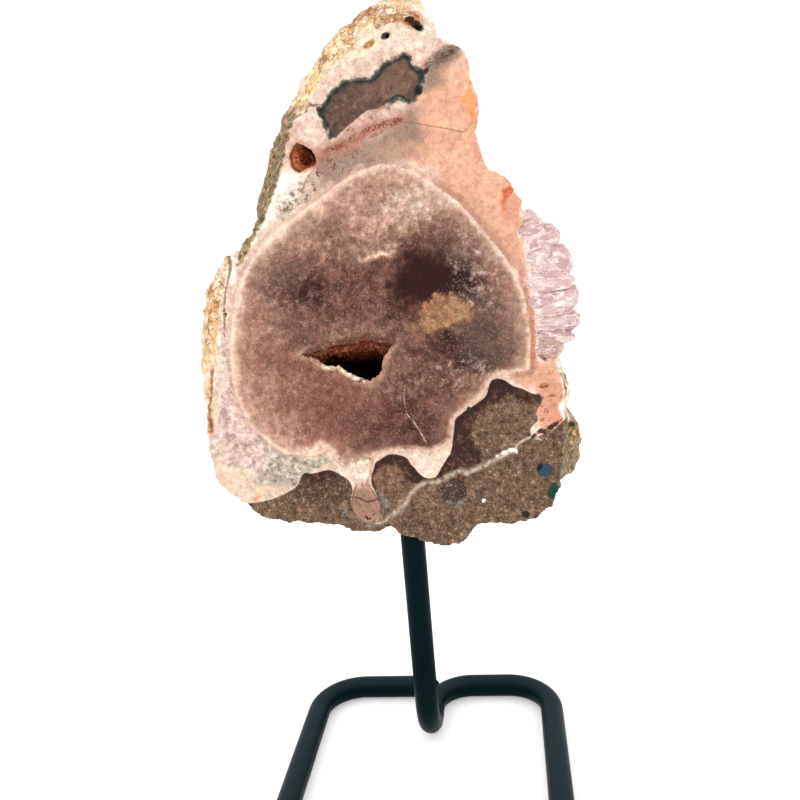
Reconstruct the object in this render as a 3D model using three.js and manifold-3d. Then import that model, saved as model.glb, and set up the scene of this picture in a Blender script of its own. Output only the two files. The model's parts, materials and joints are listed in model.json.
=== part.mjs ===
// A slice of a pink amethyst geode, glued on a stand bent from one round rod.
// Millimetres. +X is to the right of the polished face, +Y away from it, +Z up.
// Outlines are [x, z] pairs on the plane of the polished face. X and Y are measured from the
// middle of the stand's upright, and Z from the surface that the stand rests on.
import * as THREE from "three";
import { ImprovedNoise } from "three/addons/math/ImprovedNoise.js";
import { mergeVertices } from "three/addons/utils/BufferGeometryUtils.js";
import Module from "manifold-3d";

const wasm = await Module();
wasm.setup();

// ---- driving dimensions ----
const slabThickness = 20;
const faceY = -slabThickness / 2;
const crestY = 4; // where the rind is widest
const fit = 0.35; // gap between pieces that touch

const rodDiameter = 8;
const baseWidth = 87; // between the centres of the side bars
const baseDepth = 87; // between the centres of the front and rear bars
const rearBarY = 34;
const cornerRadius = 16;
const turnRadius = 14; // where the rear bar turns forward, seen from above
const riseRadius = 16; // where it turns up into the upright
const stemTop = 103.5;
const socketRadius = 4.55;
const weldEndX = 1; // the rod's first end, welded to its own bend
const weldRadius = 2.8;

// Edge of the polished face, up the left side and down the right.
const faceOutline = [
  [-51, 98.5], [-57.5, 104], [-60, 106.5], [-61, 112], [-61.5, 117.5], [-61, 124.5], [-58.5, 134.5],
  [-56.5, 136], [-53, 148], [-52.5, 153.5], [-50, 163], [-46.5, 172.5], [-44.5, 175], [-42.5, 180],
  [-40.5, 182.5], [-34.5, 189], [-30, 196], [-26.5, 205], [-26, 211], [-23.5, 212], [-22, 214],
  [-18, 217.5], [-13.5, 224.5], [-11, 227.5], [4.5, 234], [8, 237.5], [9.5, 238.5], [13.5, 238],
  [16.5, 235], [18.5, 234], [19.5, 232.5], [25.5, 229], [26.5, 227.5], [29.5, 214.5], [27.5, 207.5],
  [30, 199], [31.5, 196.5], [37, 192], [40.5, 187.5], [40, 183], [38.5, 178], [39.5, 170],
  [40, 161], [42, 155], [42, 142], [47, 139], [49.5, 135], [49.5, 125], [50, 122], [49, 115],
  [47.5, 107.5], [48.5, 102.5], [48, 99.5], [45.5, 94.5], [40.5, 90], [33.5, 89], [22, 89],
  [20.5, 87.5], [19.5, 85.5], [17, 83.5], [11, 82], [-2.5, 87], [-5, 89], [-7, 89], [-9.5, 87.5],
  [-18, 88.5], [-22.5, 90.5], [-29.5, 92], [-42, 92.5], [-47.5, 94.5],
];
// The widest reach of the stone, seen from in front. Beside the crystals it is what they grow from.
const reachOutline = [
  [-51, 98.5], [-57.5, 104], [-60, 106.5], [-61.5, 117.5], [-62, 122], [-61, 132], [-58.5, 154],
  [-57.5, 162.5], [-55, 165], [-55, 167.5], [-52.5, 170.5], [-52, 172.5], [-48, 177.5], [-43.5, 179],
  [-42.5, 181], [-39, 185.5], [-35.5, 194], [-32, 200.5], [-31, 205], [-28.5, 210.5], [-18.5, 225.5],
  [-7, 236.5], [-3, 238], [-1, 240.5], [7, 245], [10, 246], [13, 245], [15.5, 243], [18.5, 236],
  [18.5, 234], [19.5, 232.5], [25.5, 229], [26.5, 227.5], [29.5, 214.5], [27.5, 207.5], [30, 199],
  [31.5, 196.5], [37, 192], [40.5, 187.5], [40.5, 185.5], [45, 182], [46.5, 176], [48, 168],
  [49.5, 158], [49.5, 149], [49.5, 142], [50, 138], [50.5, 135], [52.5, 130.5], [51, 123],
  [54, 120.5], [55, 115.5], [54, 113], [54, 110.5], [53, 105.5], [51.5, 104.5], [48, 99.5],
  [45.5, 94.5], [40.5, 90], [33.5, 89], [22, 89], [20.5, 87.5], [19.5, 85.5], [17, 83.5], [11, 82],
  [-2.5, 87], [-5, 89], [-7, 89], [-9.5, 87.5], [-18, 88.5], [-22.5, 90.5], [-29.5, 92],
  [-42, 92.5], [-47.5, 94.5],
];
const middle = [0, 150]; // a point that every part of both outlines can be seen from
const flareFrom = [33.8, 192.1]; // the rind spreads away from here as it goes back
const flarePerMm = 1 / 252;
const outlineStep = 3.2;

// Levels from the polished face to the sawn back: how far the side has gone from the face's edge
// to its full reach, and how rough it is there.
const levels = [
  { y: faceY, out: 0, rough: 0 },
  { y: -8, out: 0.2, rough: 0.5 },
  { y: -4.5, out: 0.42, rough: 1 },
  { y: -1, out: 0.8, rough: 1 },
  { y: crestY, out: 1, rough: 0.4 },
  { y: 7.5, out: 0.96, rough: 1 },
  { y: -faceY, out: 0.9, rough: 0.8 },
];
const lumpDepth = 1.3;
const lumpSize = 5;
const swellDepth = 1.6;
const swellSize = 15;

// Quartz crystals that stand out of the right side, rooted in the stone.
const crystalRootX = 39;
const crystalReach = [ // [z, x] of the tips
  [141.5, 51], [146, 54.5], [151.5, 56.3], [158.5, 56.3], [166, 54], [172.5, 54.3], [177, 51.5],
  [182, 47.5],
];
const crystalRows = [
  { y: -6.6, first: 145.2, step: 8.1, short: 0, lean: -0.03 },
  { y: 0, first: 148.8, step: 7.7, short: 0.8, lean: 0.02 },
  { y: 6, first: 144.6, step: 8.4, short: 1.8, lean: 0.07 },
];
const crystalRadius = 4;
const crystalMargin = 0.25; // the sawn crystals stay this far behind both faces
const crystalFan = { x: -12, z: 156 }; // their axes spread from this point

// A hollow is its mouth in the face, and sections further in that move and scale that mouth about
// its centre. The lining is the inner outline of its crust of crystals.
const mainHollow = {
  centre: [-14.5, 143.5],
  mouth: [
    [-28.5, 146.5], [-24, 145], [-21.5, 142.5], [-19, 142], [-17, 142.5], [-15.5, 140.5],
    [-11, 137.5], [-7, 136.2], [-6.5, 137.5], [-4.5, 138], [-3, 142.5], [-1, 147], [0.5, 148],
    [-1.5, 149], [-6, 150], [-12, 149.5], [-18, 148.5], [-24, 147.2],
  ],
  lining: [
    [-25, 146.3], [-23, 145.9], [-20.5, 143.8], [-18.6, 143.3], [-16.3, 143.5], [-14.6, 141.7],
    [-10.5, 138.9], [-7.6, 138], [-5.4, 139.4], [-4.2, 143.2], [-2.6, 147], [-6, 148.8],
    [-12, 148.2], [-18, 147.3],
  ],
  sections: [
    { y: faceY - 1, at: [-14.5, 143.5], scale: [1, 1] },
    { y: faceY, at: [-14.5, 143.5], scale: [1, 1] },
    { y: -6, at: [-14.2, 142], scale: [0.97, 1.05] },
    { y: -1, at: [-13.5, 139], scale: [0.86, 1] },
    { y: 4.5, at: [-12.5, 137], scale: [0.6, 0.6] },
  ],
  rimY: faceY + 1,
  floorThickness: 1.2,
  crystalRadius: 1.1,
};
// The small hollow near the upper left edge.
const smallHollow = {
  centre: [-21, 204.3],
  mouth: [
    [-25, 203], [-24, 201], [-22.5, 200], [-20.5, 200.5], [-18.5, 201], [-17, 202], [-17.5, 204.5],
    [-18, 206], [-20, 207.5], [-21.5, 208.5], [-24, 207.5], [-25, 205],
  ],
  lining: [
    [-23.9, 203.2], [-23, 201.8], [-21.5, 201.3], [-19.5, 201.7], [-18.3, 202.7], [-18.6, 204.5],
    [-19.2, 205.7], [-21.2, 207], [-23.2, 206.6], [-24, 205],
  ],
  sections: [
    { y: faceY - 1, at: [-21, 204.3], scale: [1, 1] },
    { y: faceY, at: [-21, 204.3], scale: [1, 1] },
    { y: -6.5, at: [-20.4, 203.6], scale: [1, 1.02] },
    { y: -2, at: [-19.8, 203], scale: [0.62, 0.62] },
  ],
  rimY: faceY + 0.8,
  floorThickness: 0.9,
  crystalRadius: 0.8,
};

// Small pits in the face and the rind: centre, half sizes along x, y and z, and turn about y.
const pits = [
  { at: [6.1, faceY, 234.2], half: [1.2, 3.5, 1.1], turn: 0 }, // round hole near the top
  { at: [14.8, faceY, 235.6], half: [2.2, 3.5, 1], turn: 0.65 }, // slot under the peak
  { at: [0, faceY, 233], half: [1.2, 2, 0.8], turn: -0.5 }, // ochre pit
  { at: [45.2, faceY, 118.3], half: [2.4, 3, 0.7], turn: -0.6 }, // slot at the end of the vein
  { at: [44.5, faceY, 132.5], half: [1.3, 2, 0.7], turn: -0.1 }, // pit in the peach band
  { at: [-50, -8.8, 161], half: [0.8, 2.4, 5], turn: 0.22 }, // seam beside the left rind
  { at: [-59.6, -8.8, 128], half: [0.8, 2.4, 3.6], turn: 0.1 }, // seam lower on the left
];

// ---- solids ----
const solidOf = (geometry) => {
  geometry.deleteAttribute("normal");
  geometry.deleteAttribute("uv");
  const merged = mergeVertices(geometry, 1e-4);
  return new wasm.Manifold(new wasm.Mesh({
    numProp: 3,
    vertProperties: merged.attributes.position.array,
    triVerts: new Uint32Array(merged.index.array),
  }));
};

// The outer skin of a solid, without the pockets that its pieces shut in.
const outerSkin = (solid) => solid.decompose().reduce((a, b) => (a.volume() > b.volume() ? a : b));

const meshOf = (solid, name, look) => {
  const { vertProperties, triVerts } = outerSkin(solid).getMesh();
  const geometry = new THREE.BufferGeometry();
  geometry.setAttribute("position", new THREE.BufferAttribute(vertProperties, 3));
  geometry.setIndex(new THREE.BufferAttribute(triVerts, 1));
  geometry.computeVertexNormals();
  const mesh = new THREE.Mesh(geometry, new THREE.MeshStandardMaterial({ ...look, flatShading: true }));
  mesh.name = name;
  return mesh;
};

// Closed skin over rings of equal length, each a list of [x, y, z] round the same way, from the
// front to the back. Each end is a fan of triangles round its hub.
const loft = (givenRings, frontHub, backHub) => {
  const clockwise = THREE.ShapeUtils.isClockWise(givenRings[0].map(([x, , z]) => new THREE.Vector2(x, z)));
  const rings = clockwise ? givenRings.map((ring) => ring.toReversed()) : givenRings;
  const count = rings[0].length;
  const last = (rings.length - 1) * count;
  const positions = [rings.flat(2), frontHub, backHub].flat();
  const frontCentre = rings.length * count;
  const faces = [];
  for (let i = 0; i < count; i += 1) {
    const next = (i + 1) % count;
    faces.push(frontCentre, i, next);
    faces.push(frontCentre + 1, last + next, last + i);
    for (let near = 0; near < last; near += count) {
      const far = near + count;
      faces.push(near + i, far + i, near + next);
      faces.push(near + next, far + i, far + next);
    }
  }
  const geometry = new THREE.BufferGeometry();
  geometry.setAttribute("position", new THREE.Float32BufferAttribute(positions, 3));
  geometry.setIndex(faces);
  return solidOf(geometry);
};

// ---- the stone ----
const noise = new ImprovedNoise();

// Distance from the middle to an outline, along a ray at the given angle.
const reachAt = (outline, angle) => {
  const [dx, dz] = [Math.cos(angle), Math.sin(angle)];
  let reach = 0;
  outline.forEach(([x, z], i) => {
    const [nextX, nextZ] = outline[(i + 1) % outline.length];
    const [ax, az] = [x - middle[0], z - middle[1]];
    const [ex, ez] = [nextX - x, nextZ - z];
    const cross = dx * ez - dz * ex;
    const along = (ax * ez - az * ex) / cross;
    const share = (ax * dz - az * dx) / cross;
    if (along > 0 && share >= -1e-9 && share <= 1 + 1e-9) {
      reach = Math.max(reach, along);
    }
  });
  return reach;
};

// The outline's corners, with points between them no further apart than a step.
const stationsAlong = (outline) => outline.flatMap(([x, z], i) => {
  const [nextX, nextZ] = outline[(i + 1) % outline.length];
  const parts = Math.ceil(Math.hypot(nextX - x, nextZ - z) / outlineStep);
  return Array.from({ length: parts }, (_, k) => [
    THREE.MathUtils.lerp(x, nextX, k / parts),
    THREE.MathUtils.lerp(z, nextZ, k / parts),
  ]);
});

const roughness = (x, y, z) => {
  const lumps = noise.noise(x / lumpSize, y / lumpSize, z / lumpSize);
  const swells = noise.noise(x / swellSize + 7, y / swellSize, z / swellSize);
  return lumpDepth * (lumps - 0.35) + swellDepth * (swells - 0.3);
};

const stoneBody = () => {
  const stations = stationsAlong(reachOutline);
  const rings = levels.map(({ y, out, rough }) => stations.map(([x, z]) => {
    const angle = Math.atan2(z - middle[1], x - middle[0]);
    const edge = reachAt(faceOutline, angle);
    const full = Math.hypot(x - middle[0], z - middle[1]);
    const rind = THREE.MathUtils.smoothstep(full - edge, 0.5, 3);
    const spread = 1 + rind * (crestY - faceY) * flarePerMm;
    const wideX = flareFrom[0] + (x - flareFrom[0]) * spread;
    const wideZ = flareFrom[1] + (z - flareFrom[1]) * spread;
    const faceX = middle[0] + edge * Math.cos(angle);
    const faceZ = middle[1] + edge * Math.sin(angle);
    const sideX = THREE.MathUtils.lerp(faceX, wideX, out);
    const sideZ = THREE.MathUtils.lerp(faceZ, wideZ, out);
    const push = Math.min(rough * roughness(sideX, y, sideZ), 0.35);
    return [sideX + push * Math.cos(angle), y, sideZ + push * Math.sin(angle)];
  }));
  return loft(rings, [middle[0], faceY, middle[1]], [middle[0], -faceY, middle[1]]);
};

// A six-sided crystal along +Y from its root, with a six-sided point.
const crystalGeometry = (radius, length, point) => {
  const profile = [
    new THREE.Vector2(0, 0), new THREE.Vector2(radius, 0),
    new THREE.Vector2(radius * 0.94, length - point), new THREE.Vector2(0, length),
  ];
  return new THREE.LatheGeometry(profile, 6);
};

const tipReachAt = (z) => {
  const i = Math.max(1, crystalReach.findIndex(([level]) => level >= z));
  const [lowZ, lowX] = crystalReach[i - 1];
  const [highZ, highX] = crystalReach[i];
  return THREE.MathUtils.mapLinear(z, lowZ, highZ, lowX, highX);
};

// Repeatable numbers between 0 and 1.
const pick = (seed) => {
  const value = Math.sin(seed * 12.9898) * 43758.5453;
  return value - Math.floor(value);
};

const sideCrystals = () => crystalRows.flatMap(({ y, first, step, short, lean }, row) => {
  const crystals = [];
  for (let z = first; z < 181; z += step) {
    const seed = row * 40 + crystals.length;
    const tip = new THREE.Vector3(tipReachAt(z) - short * (0.4 + pick(seed)), 0, z);
    const slope = (z - crystalFan.z) / (tip.x - crystalFan.x);
    const axis = new THREE.Vector3(1, lean + 0.1 * (pick(seed + 9) - 0.5), slope).normalize();
    const length = (tip.x - crystalRootX) / axis.x;
    const radius = crystalRadius * (0.9 + 0.3 * pick(seed + 5));
    const geometry = crystalGeometry(radius, length, radius * (0.45 + 0.45 * pick(seed + 3)));
    geometry.rotateY(pick(seed + 7) * Math.PI / 3);
    geometry.applyQuaternion(new THREE.Quaternion().setFromUnitVectors(new THREE.Vector3(0, 1, 0), axis));
    const root = tip.clone().addScaledVector(axis, -length);
    geometry.translate(root.x, y, root.z);
    crystals.push(solidOf(geometry));
  }
  return crystals;
});

const betweenFaces = () => {
  const reach = 400;
  const geometry = new THREE.BoxGeometry(reach, slabThickness - 2 * crystalMargin, reach);
  geometry.translate(0, 0, middle[1]);
  return solidOf(geometry);
};

const pitSolid = ({ at, half, turn }) => {
  const geometry = new THREE.IcosahedronGeometry(1, 1);
  geometry.scale(...half);
  geometry.rotateY(turn);
  geometry.translate(...at);
  return solidOf(geometry);
};

// ---- the hollows ----
// An outline moved inward by a margin at every corner.
const drawnIn = (outline, margin) => outline.map(([x, z], i) => {
  const corner = new THREE.Vector2(x, z);
  const before = new THREE.Vector2(...outline.at(i - 1));
  const after = new THREE.Vector2(...outline[(i + 1) % outline.length]);
  const inward = [corner.clone().sub(before), after.sub(corner)]
    .map((edge) => new THREE.Vector2(-edge.y, edge.x).normalize());
  const middleWay = inward[0].clone().add(inward[1]).normalize();
  const reach = margin / Math.max(0.4, middleWay.dot(inward[0]));
  return corner.addScaledVector(middleWay, reach).toArray();
});

const sectionAt = (sections, y) => {
  const i = sections.findIndex((section) => section.y >= y);
  const [low, high] = [sections[i - 1], sections[i]];
  const share = (y - low.y) / (high.y - low.y);
  const mix = (a, b) => a.map((value, k) => THREE.MathUtils.lerp(value, b[k], share));
  return { y, at: mix(low.at, high.at), scale: mix(low.scale, high.scale) };
};

const ringOf = (outline, centre, { y, at, scale }) => outline.map(([x, z]) => [
  at[0] + (x - centre[0]) * scale[0], y, at[1] + (z - centre[1]) * scale[1],
]);

const hollowSolid = (outline, centre, sections) => {
  const rings = sections.map((section) => ringOf(outline, centre, section));
  const hubOf = ({ y, at }) => [at[0], y, at[1]];
  return loft(rings, hubOf(sections[0]), hubOf(sections.at(-1)));
};

// The sections from a start inward, with the last one nearer by a margin.
const sectionsFrom = (sections, start, margin) => {
  const floor = { ...sections.at(-1), y: sections.at(-1).y - margin };
  return [sectionAt(sections, start), ...sections.slice(2, -1), floor];
};

// The crust of small crystals that lines a hollow: a cup with points growing inward.
const crustSolid = ({ mouth, lining, centre, sections, rimY, floorThickness, crystalRadius }) => {
  const outerSections = sectionsFrom(sections, rimY, fit);
  const innerSections = sectionsFrom(sections, faceY - 0.5, fit + floorThickness);
  const outer = hollowSolid(drawnIn(mouth, fit), centre, outerSections);
  const crystals = innerSections.slice(1).flatMap((section, level) => {
    const inside = new THREE.Vector3(section.at[0], section.y - 2, section.at[1]);
    return ringOf(lining, centre, section).map((point, i) => {
      const seed = level * 60 + i;
      const root = new THREE.Vector3(...point);
      const axis = inside.clone().sub(root).normalize();
      const radius = crystalRadius * (0.75 + 0.5 * pick(seed));
      const geometry = crystalGeometry(radius, radius * 2, radius * 1.2);
      geometry.applyQuaternion(new THREE.Quaternion().setFromUnitVectors(new THREE.Vector3(0, 1, 0), axis));
      root.addScaledVector(axis, -radius * 0.7);
      geometry.translate(root.x, root.y, root.z);
      return solidOf(geometry);
    });
  });
  const grown = crystals.reduce((all, crystal) => all.add(crystal)).intersect(outer);
  return outer.subtract(hollowSolid(lining, centre, innerSections)).add(grown);
};

// ---- the stand ----
// A rod's route: straight runs joined by round bends, each sampled where its direction changes.
class RodRoute extends THREE.Curve {
  constructor(corners, radii, bendStep = Math.PI / 16) {
    super();
    this.stations = [];
    const unit = (from, to) => to.clone().sub(from).normalize();
    this.add(corners[0], unit(corners[0], corners[1]));
    for (let i = 1; i + 1 < corners.length; i += 1) {
      const before = unit(corners[i - 1], corners[i]);
      const after = unit(corners[i], corners[i + 1]);
      const radius = radii[i - 1];
      const start = corners[i].clone().addScaledVector(before, -radius);
      const centre = start.clone().addScaledVector(after, radius);
      const parts = Math.round(Math.PI / 2 / bendStep);
      for (let k = 0; k <= parts; k += 1) {
        const angle = (Math.PI / 2) * (k / parts);
        const point = centre.clone()
          .addScaledVector(before, radius * Math.sin(angle))
          .addScaledVector(after, -radius * Math.cos(angle));
        const tangent = before.clone().multiplyScalar(Math.cos(angle))
          .addScaledVector(after, Math.sin(angle));
        this.add(point, tangent);
      }
    }
    this.add(corners.at(-1), unit(corners.at(-2), corners.at(-1)));
  }

  add(point, tangent) {
    this.stations.push({ point, tangent });
  }

  station(u) {
    return this.stations[Math.round(u * (this.stations.length - 1))];
  }

  getPoint(t, target = new THREE.Vector3()) {
    return target.copy(this.station(t).point);
  }

  getPointAt(u, target) {
    return this.getPoint(u, target);
  }

  getTangentAt(u, target = new THREE.Vector3()) {
    return target.copy(this.station(u).tangent);
  }
}

// Twelve flats round the rod, one of them facing down, so the stand rests on real flat strips.
const rodSection = () => {
  const sides = 12;
  const corner = rodDiameter / 2 / Math.cos(Math.PI / sides);
  return new THREE.Shape(Array.from({ length: sides }, (_, k) => {
    const angle = (k + 0.5) * 2 * Math.PI / sides;
    return new THREE.Vector2(corner * Math.cos(angle), corner * Math.sin(angle));
  }));
};

const rodAlong = (corners, radii) => {
  const route = new RodRoute(corners, radii);
  const geometry = new THREE.ExtrudeGeometry(rodSection(), {
    steps: route.stations.length - 1,
    extrudePath: route,
  });
  return solidOf(geometry);
};

const standSolid = () => {
  const z = rodDiameter / 2;
  const side = baseWidth / 2;
  const frontY = rearBarY - baseDepth;
  const joinOverlap = 1;
  const weldEnd = new THREE.Vector3(weldEndX, rearBarY, z);
  const left = rodAlong([
    new THREE.Vector3(joinOverlap, frontY, z),
    new THREE.Vector3(-side, frontY, z),
    new THREE.Vector3(-side, rearBarY, z),
    weldEnd,
  ], [cornerRadius, cornerRadius]);
  const right = rodAlong([
    new THREE.Vector3(-joinOverlap, frontY, z),
    new THREE.Vector3(side, frontY, z),
    new THREE.Vector3(side, rearBarY, z),
    new THREE.Vector3(0, rearBarY, z),
    new THREE.Vector3(0, 0, z),
    new THREE.Vector3(0, 0, stemTop),
  ], [cornerRadius, cornerRadius, turnRadius, riseRadius]);
  const bead = new THREE.IcosahedronGeometry(weldRadius, 1);
  bead.translate(weldEndX + 1.2, rearBarY - 1.2, z + 2);
  return left.add(right).add(solidOf(bead));
};

const socketSolid = () => {
  const depth = 40;
  const geometry = new THREE.CylinderGeometry(socketRadius, socketRadius, depth, 20);
  geometry.rotateX(Math.PI / 2);
  geometry.translate(0, 0, stemTop + fit - depth / 2);
  return solidOf(geometry);
};

const slabSolid = () => {
  const crystals = sideCrystals().reduce((all, crystal) => all.add(crystal)).intersect(betweenFaces());
  let slab = stoneBody().add(crystals);
  slab = slab.subtract(socketSolid());
  for (const { mouth, centre, sections } of [mainHollow, smallHollow]) {
    slab = slab.subtract(hollowSolid(mouth, centre, sections));
  }
  return pits.reduce((stone, pit) => stone.subtract(pitSolid(pit)), slab);
};

// ---- the assembly ----
const looks = {
  stone: { color: "#b98f83", roughness: 0.35, metalness: 0 },
  darkCrystals: { color: "#5a2c1c", roughness: 0.4, metalness: 0 },
  orangeCrystals: { color: "#a04a28", roughness: 0.4, metalness: 0 },
  blackRod: { color: "#0f1a1e", roughness: 0.45, metalness: 0.3 },
};
const group = new THREE.Group();
group.add(meshOf(slabSolid(), "amethyst_slab", looks.stone));
group.add(meshOf(crustSolid(mainHollow), "hollow_crystals", looks.darkCrystals));
group.add(meshOf(crustSolid(smallHollow), "small_hollow_crystals", looks.orangeCrystals));
group.add(meshOf(standSolid(), "stand_rod", looks.blackRod));

// The origin is the middle of the overall box, on the surface that the stand rests on.
const box = new THREE.Box3().setFromObject(group);
group.position.set(-(box.min.x + box.max.x) / 2, -(box.min.y + box.max.y) / 2, -box.min.z);

export default group;
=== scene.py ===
# A slice of a pink amethyst geode on a stand bent from one black rod, dressed over the packed
# model. Blender works in metres here. The dictionaries are in millimetres, measured from the middle
# of the stand's upright, with x to the right of the polished face, y away from it and z up.
import json
import math
from functools import partial

import bpy
import numpy as np
from mathutils import Matrix, Vector, noise

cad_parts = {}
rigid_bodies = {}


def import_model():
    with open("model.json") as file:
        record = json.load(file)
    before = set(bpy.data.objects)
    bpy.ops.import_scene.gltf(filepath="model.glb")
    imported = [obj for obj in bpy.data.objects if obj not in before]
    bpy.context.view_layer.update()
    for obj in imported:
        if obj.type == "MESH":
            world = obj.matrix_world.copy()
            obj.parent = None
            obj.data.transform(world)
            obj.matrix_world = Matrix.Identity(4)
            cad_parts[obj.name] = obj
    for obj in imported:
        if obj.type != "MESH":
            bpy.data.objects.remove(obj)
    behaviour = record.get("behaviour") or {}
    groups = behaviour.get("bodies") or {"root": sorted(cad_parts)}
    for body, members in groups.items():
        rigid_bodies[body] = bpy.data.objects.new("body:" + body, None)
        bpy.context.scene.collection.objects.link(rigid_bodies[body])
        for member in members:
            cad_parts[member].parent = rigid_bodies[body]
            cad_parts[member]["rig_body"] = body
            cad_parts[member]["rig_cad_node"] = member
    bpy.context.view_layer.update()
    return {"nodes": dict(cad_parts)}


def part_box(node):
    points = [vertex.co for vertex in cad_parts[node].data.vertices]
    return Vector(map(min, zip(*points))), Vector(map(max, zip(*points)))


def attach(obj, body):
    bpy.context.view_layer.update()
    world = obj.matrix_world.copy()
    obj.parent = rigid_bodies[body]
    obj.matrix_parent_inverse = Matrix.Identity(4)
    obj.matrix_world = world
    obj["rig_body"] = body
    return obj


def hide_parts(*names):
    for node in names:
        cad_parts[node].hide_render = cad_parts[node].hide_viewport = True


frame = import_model()
mm = 0.001
print("stage: frame loaded")

slabHalf = 10  # half of the slab's thickness
rearBarY = 34  # the stand's rear bar, behind the upright
rodRadius = 4
weldGap = 0.01  # points nearer to each other than this are one

standLow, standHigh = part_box("stand_rod")
stem = Vector(((standLow.x + standHigh.x) / 2, standHigh.y - (rodRadius + rearBarY) * mm, 0))


def place(x, y, z):
    return stem + Vector((x, y, z)) * mm


# ---- helpers for meshes ----
def deselectAll():
    if bpy.context.object and bpy.context.object.mode != "OBJECT":
        bpy.ops.object.mode_set(mode="OBJECT")
    bpy.ops.object.select_all(action="DESELECT")


def makeActive(obj):
    deselectAll()
    obj.select_set(True)
    bpy.context.view_layer.objects.active = obj


def settleInPlace(obj):
    # The object ends at the origin, unturned and unscaled, with its place in its mesh.
    makeActive(obj)
    bpy.ops.object.transform_apply(location=True, rotation=True, scale=True)


def copyOfNode(name, pieceName):
    # A free copy of a CAD node with its loose triangles joined into one skin.
    deselectAll()
    node = frame["nodes"][name]
    node.select_set(True)
    bpy.context.view_layer.objects.active = node
    bpy.ops.object.duplicate()
    piece = bpy.context.object
    piece.name = pieceName
    piece.parent = None
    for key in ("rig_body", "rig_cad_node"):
        if key in piece:
            del piece[key]
    piece.data.materials.clear()
    makeActive(piece)
    bpy.ops.object.mode_set(mode="EDIT")
    bpy.ops.mesh.select_all(action="SELECT")
    bpy.ops.mesh.remove_doubles(threshold=weldGap * mm)
    bpy.ops.mesh.normals_make_consistent(inside=False)
    bpy.ops.object.mode_set(mode="OBJECT")
    return piece


def readPoints(mesh):
    points = np.zeros(len(mesh.vertices) * 3)
    mesh.vertices.foreach_get("co", points)
    return points.reshape(-1, 3)


def writePoints(mesh, points):
    mesh.vertices.foreach_set("co", points.astype(np.float32).ravel())
    mesh.update()


def inMillimetres(points):
    return (points - np.array(stem)) / mm


def applyModifier(obj, kind, **settings):
    makeActive(obj)
    modifier = obj.modifiers.new(kind.lower(), kind)
    for key, value in settings.items():
        setattr(modifier, key, value)
    bpy.ops.object.modifier_apply(modifier=modifier.name)


# ---- helpers for outlines on the sawn face ----
farAway = 1e9
tiny = 1e-9  # keeps a division by a length of nothing away
patchEdge = 1.5  # how plainly a soft patch ends: 1 is the softest


def smoothOutline(corners, parts=3):
    # A rounded closed line through the corners.
    p1 = np.array(corners, float)
    p0, p2, p3 = np.roll(p1, 1, axis=0), np.roll(p1, -1, axis=0), np.roll(p1, -2, axis=0)
    rounds = []
    for k in range(parts):
        t = k / parts
        rounds.append(0.5 * (2 * p1 + (p2 - p0) * t + (2 * p0 - 5 * p1 + 4 * p2 - p3) * t ** 2
                             + (3 * p1 - p0 - 3 * p2 + p3) * t ** 3))
    return np.stack(rounds, axis=1).reshape(-1, 2)


def lineDistance(points, line, closed=False):
    nearest = np.full(len(points), farAway)
    ends = np.roll(line, -1, axis=0) if closed else line[1:]
    for start, end in zip(line, ends):
        along = end - start
        t = np.clip(((points - start) @ along) / max(along @ along, tiny), 0, 1)
        gap = points - start - t[:, None] * along
        nearest = np.minimum(nearest, np.hypot(gap[:, 0], gap[:, 1]))
    return nearest


def signedDistance(points, outline):
    # Distance to a closed outline in mm, positive inside it.
    inside = np.zeros(len(points), bool)
    for (ax, az), (bx, bz) in zip(outline, np.roll(outline, -1, axis=0)):
        crosses = (az > points[:, 1]) != (bz > points[:, 1])
        if az != bz:
            inside ^= crosses & (points[:, 0] < (bx - ax) * (points[:, 1] - az) / (bz - az) + ax)
    distance = lineDistance(points, outline, closed=True)
    return np.where(inside, distance, -distance)


def softPatches(points, patches):
    # Sum of soft patches, each x, z, half width, half height, turn in degrees and strength.
    total = np.zeros(len(points))
    for x, z, wide, high, turn, strength in patches:
        c, s = math.cos(math.radians(turn)), math.sin(math.radians(turn))
        dx, dz = points[:, 0] - x, points[:, 1] - z
        u, v = (dx * c + dz * s) / wide, (dz * c - dx * s) / high
        total += strength * np.exp(-(u * u + v * v) ** patchEdge)
    return total


def strayed(points, size, reach):
    # The points shifted in swirls of the given size, so that soft patches end raggedly.
    shifts = [noise.turbulence_vector(Vector(point) / size, strayDetail, False) for point in points]
    return (points + np.array(shifts) * reach)[:, [0, 2]]


def drifted(points):
    # The growth lies askew in the slice: the front stays, and the back is not its mirror image.
    depth = (points[:, 1:2] + slabHalf) / (2 * slabHalf)
    swirls = [noise.noise_vector(Vector(point) / driftSize) for point in points]
    return points + (np.array(swirls) * driftReach + driftLean) * depth


def ragged(outline, step, swing, rng):
    # The outline again with a corner every step or so, each moved by up to swing.
    corners = []
    for start, end in zip(outline, np.roll(outline, -1, axis=0)):
        count = max(1, round(math.hypot(*(end - start)) / step))
        corners += [start + (end - start) * k / count for k in range(count)]
    return np.array(corners) + rng.uniform(-swing, swing, (len(corners), 2))


def sideDistance(points, line):
    # Like lineDistance, but with a sign for the side, so that it crosses the line evenly.
    nearest = np.full(len(points), farAway)
    for start, end in zip(line, line[1:]):
        along = end - start
        t = np.clip(((points - start) @ along) / max(along @ along, tiny), 0, 1)
        gap = points - start - t[:, None] * along
        side = np.where(gap[:, 0] * along[1] > gap[:, 1] * along[0], 1, -1)
        distance = np.hypot(gap[:, 0], gap[:, 1])
        nearest = np.where(distance < np.abs(nearest), side * distance, nearest)
    return nearest


def addValues(mesh, name, values):
    attribute = mesh.attributes.new(name, "FLOAT", "POINT")
    attribute.data.foreach_set("value", values.astype(np.float32))


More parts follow.
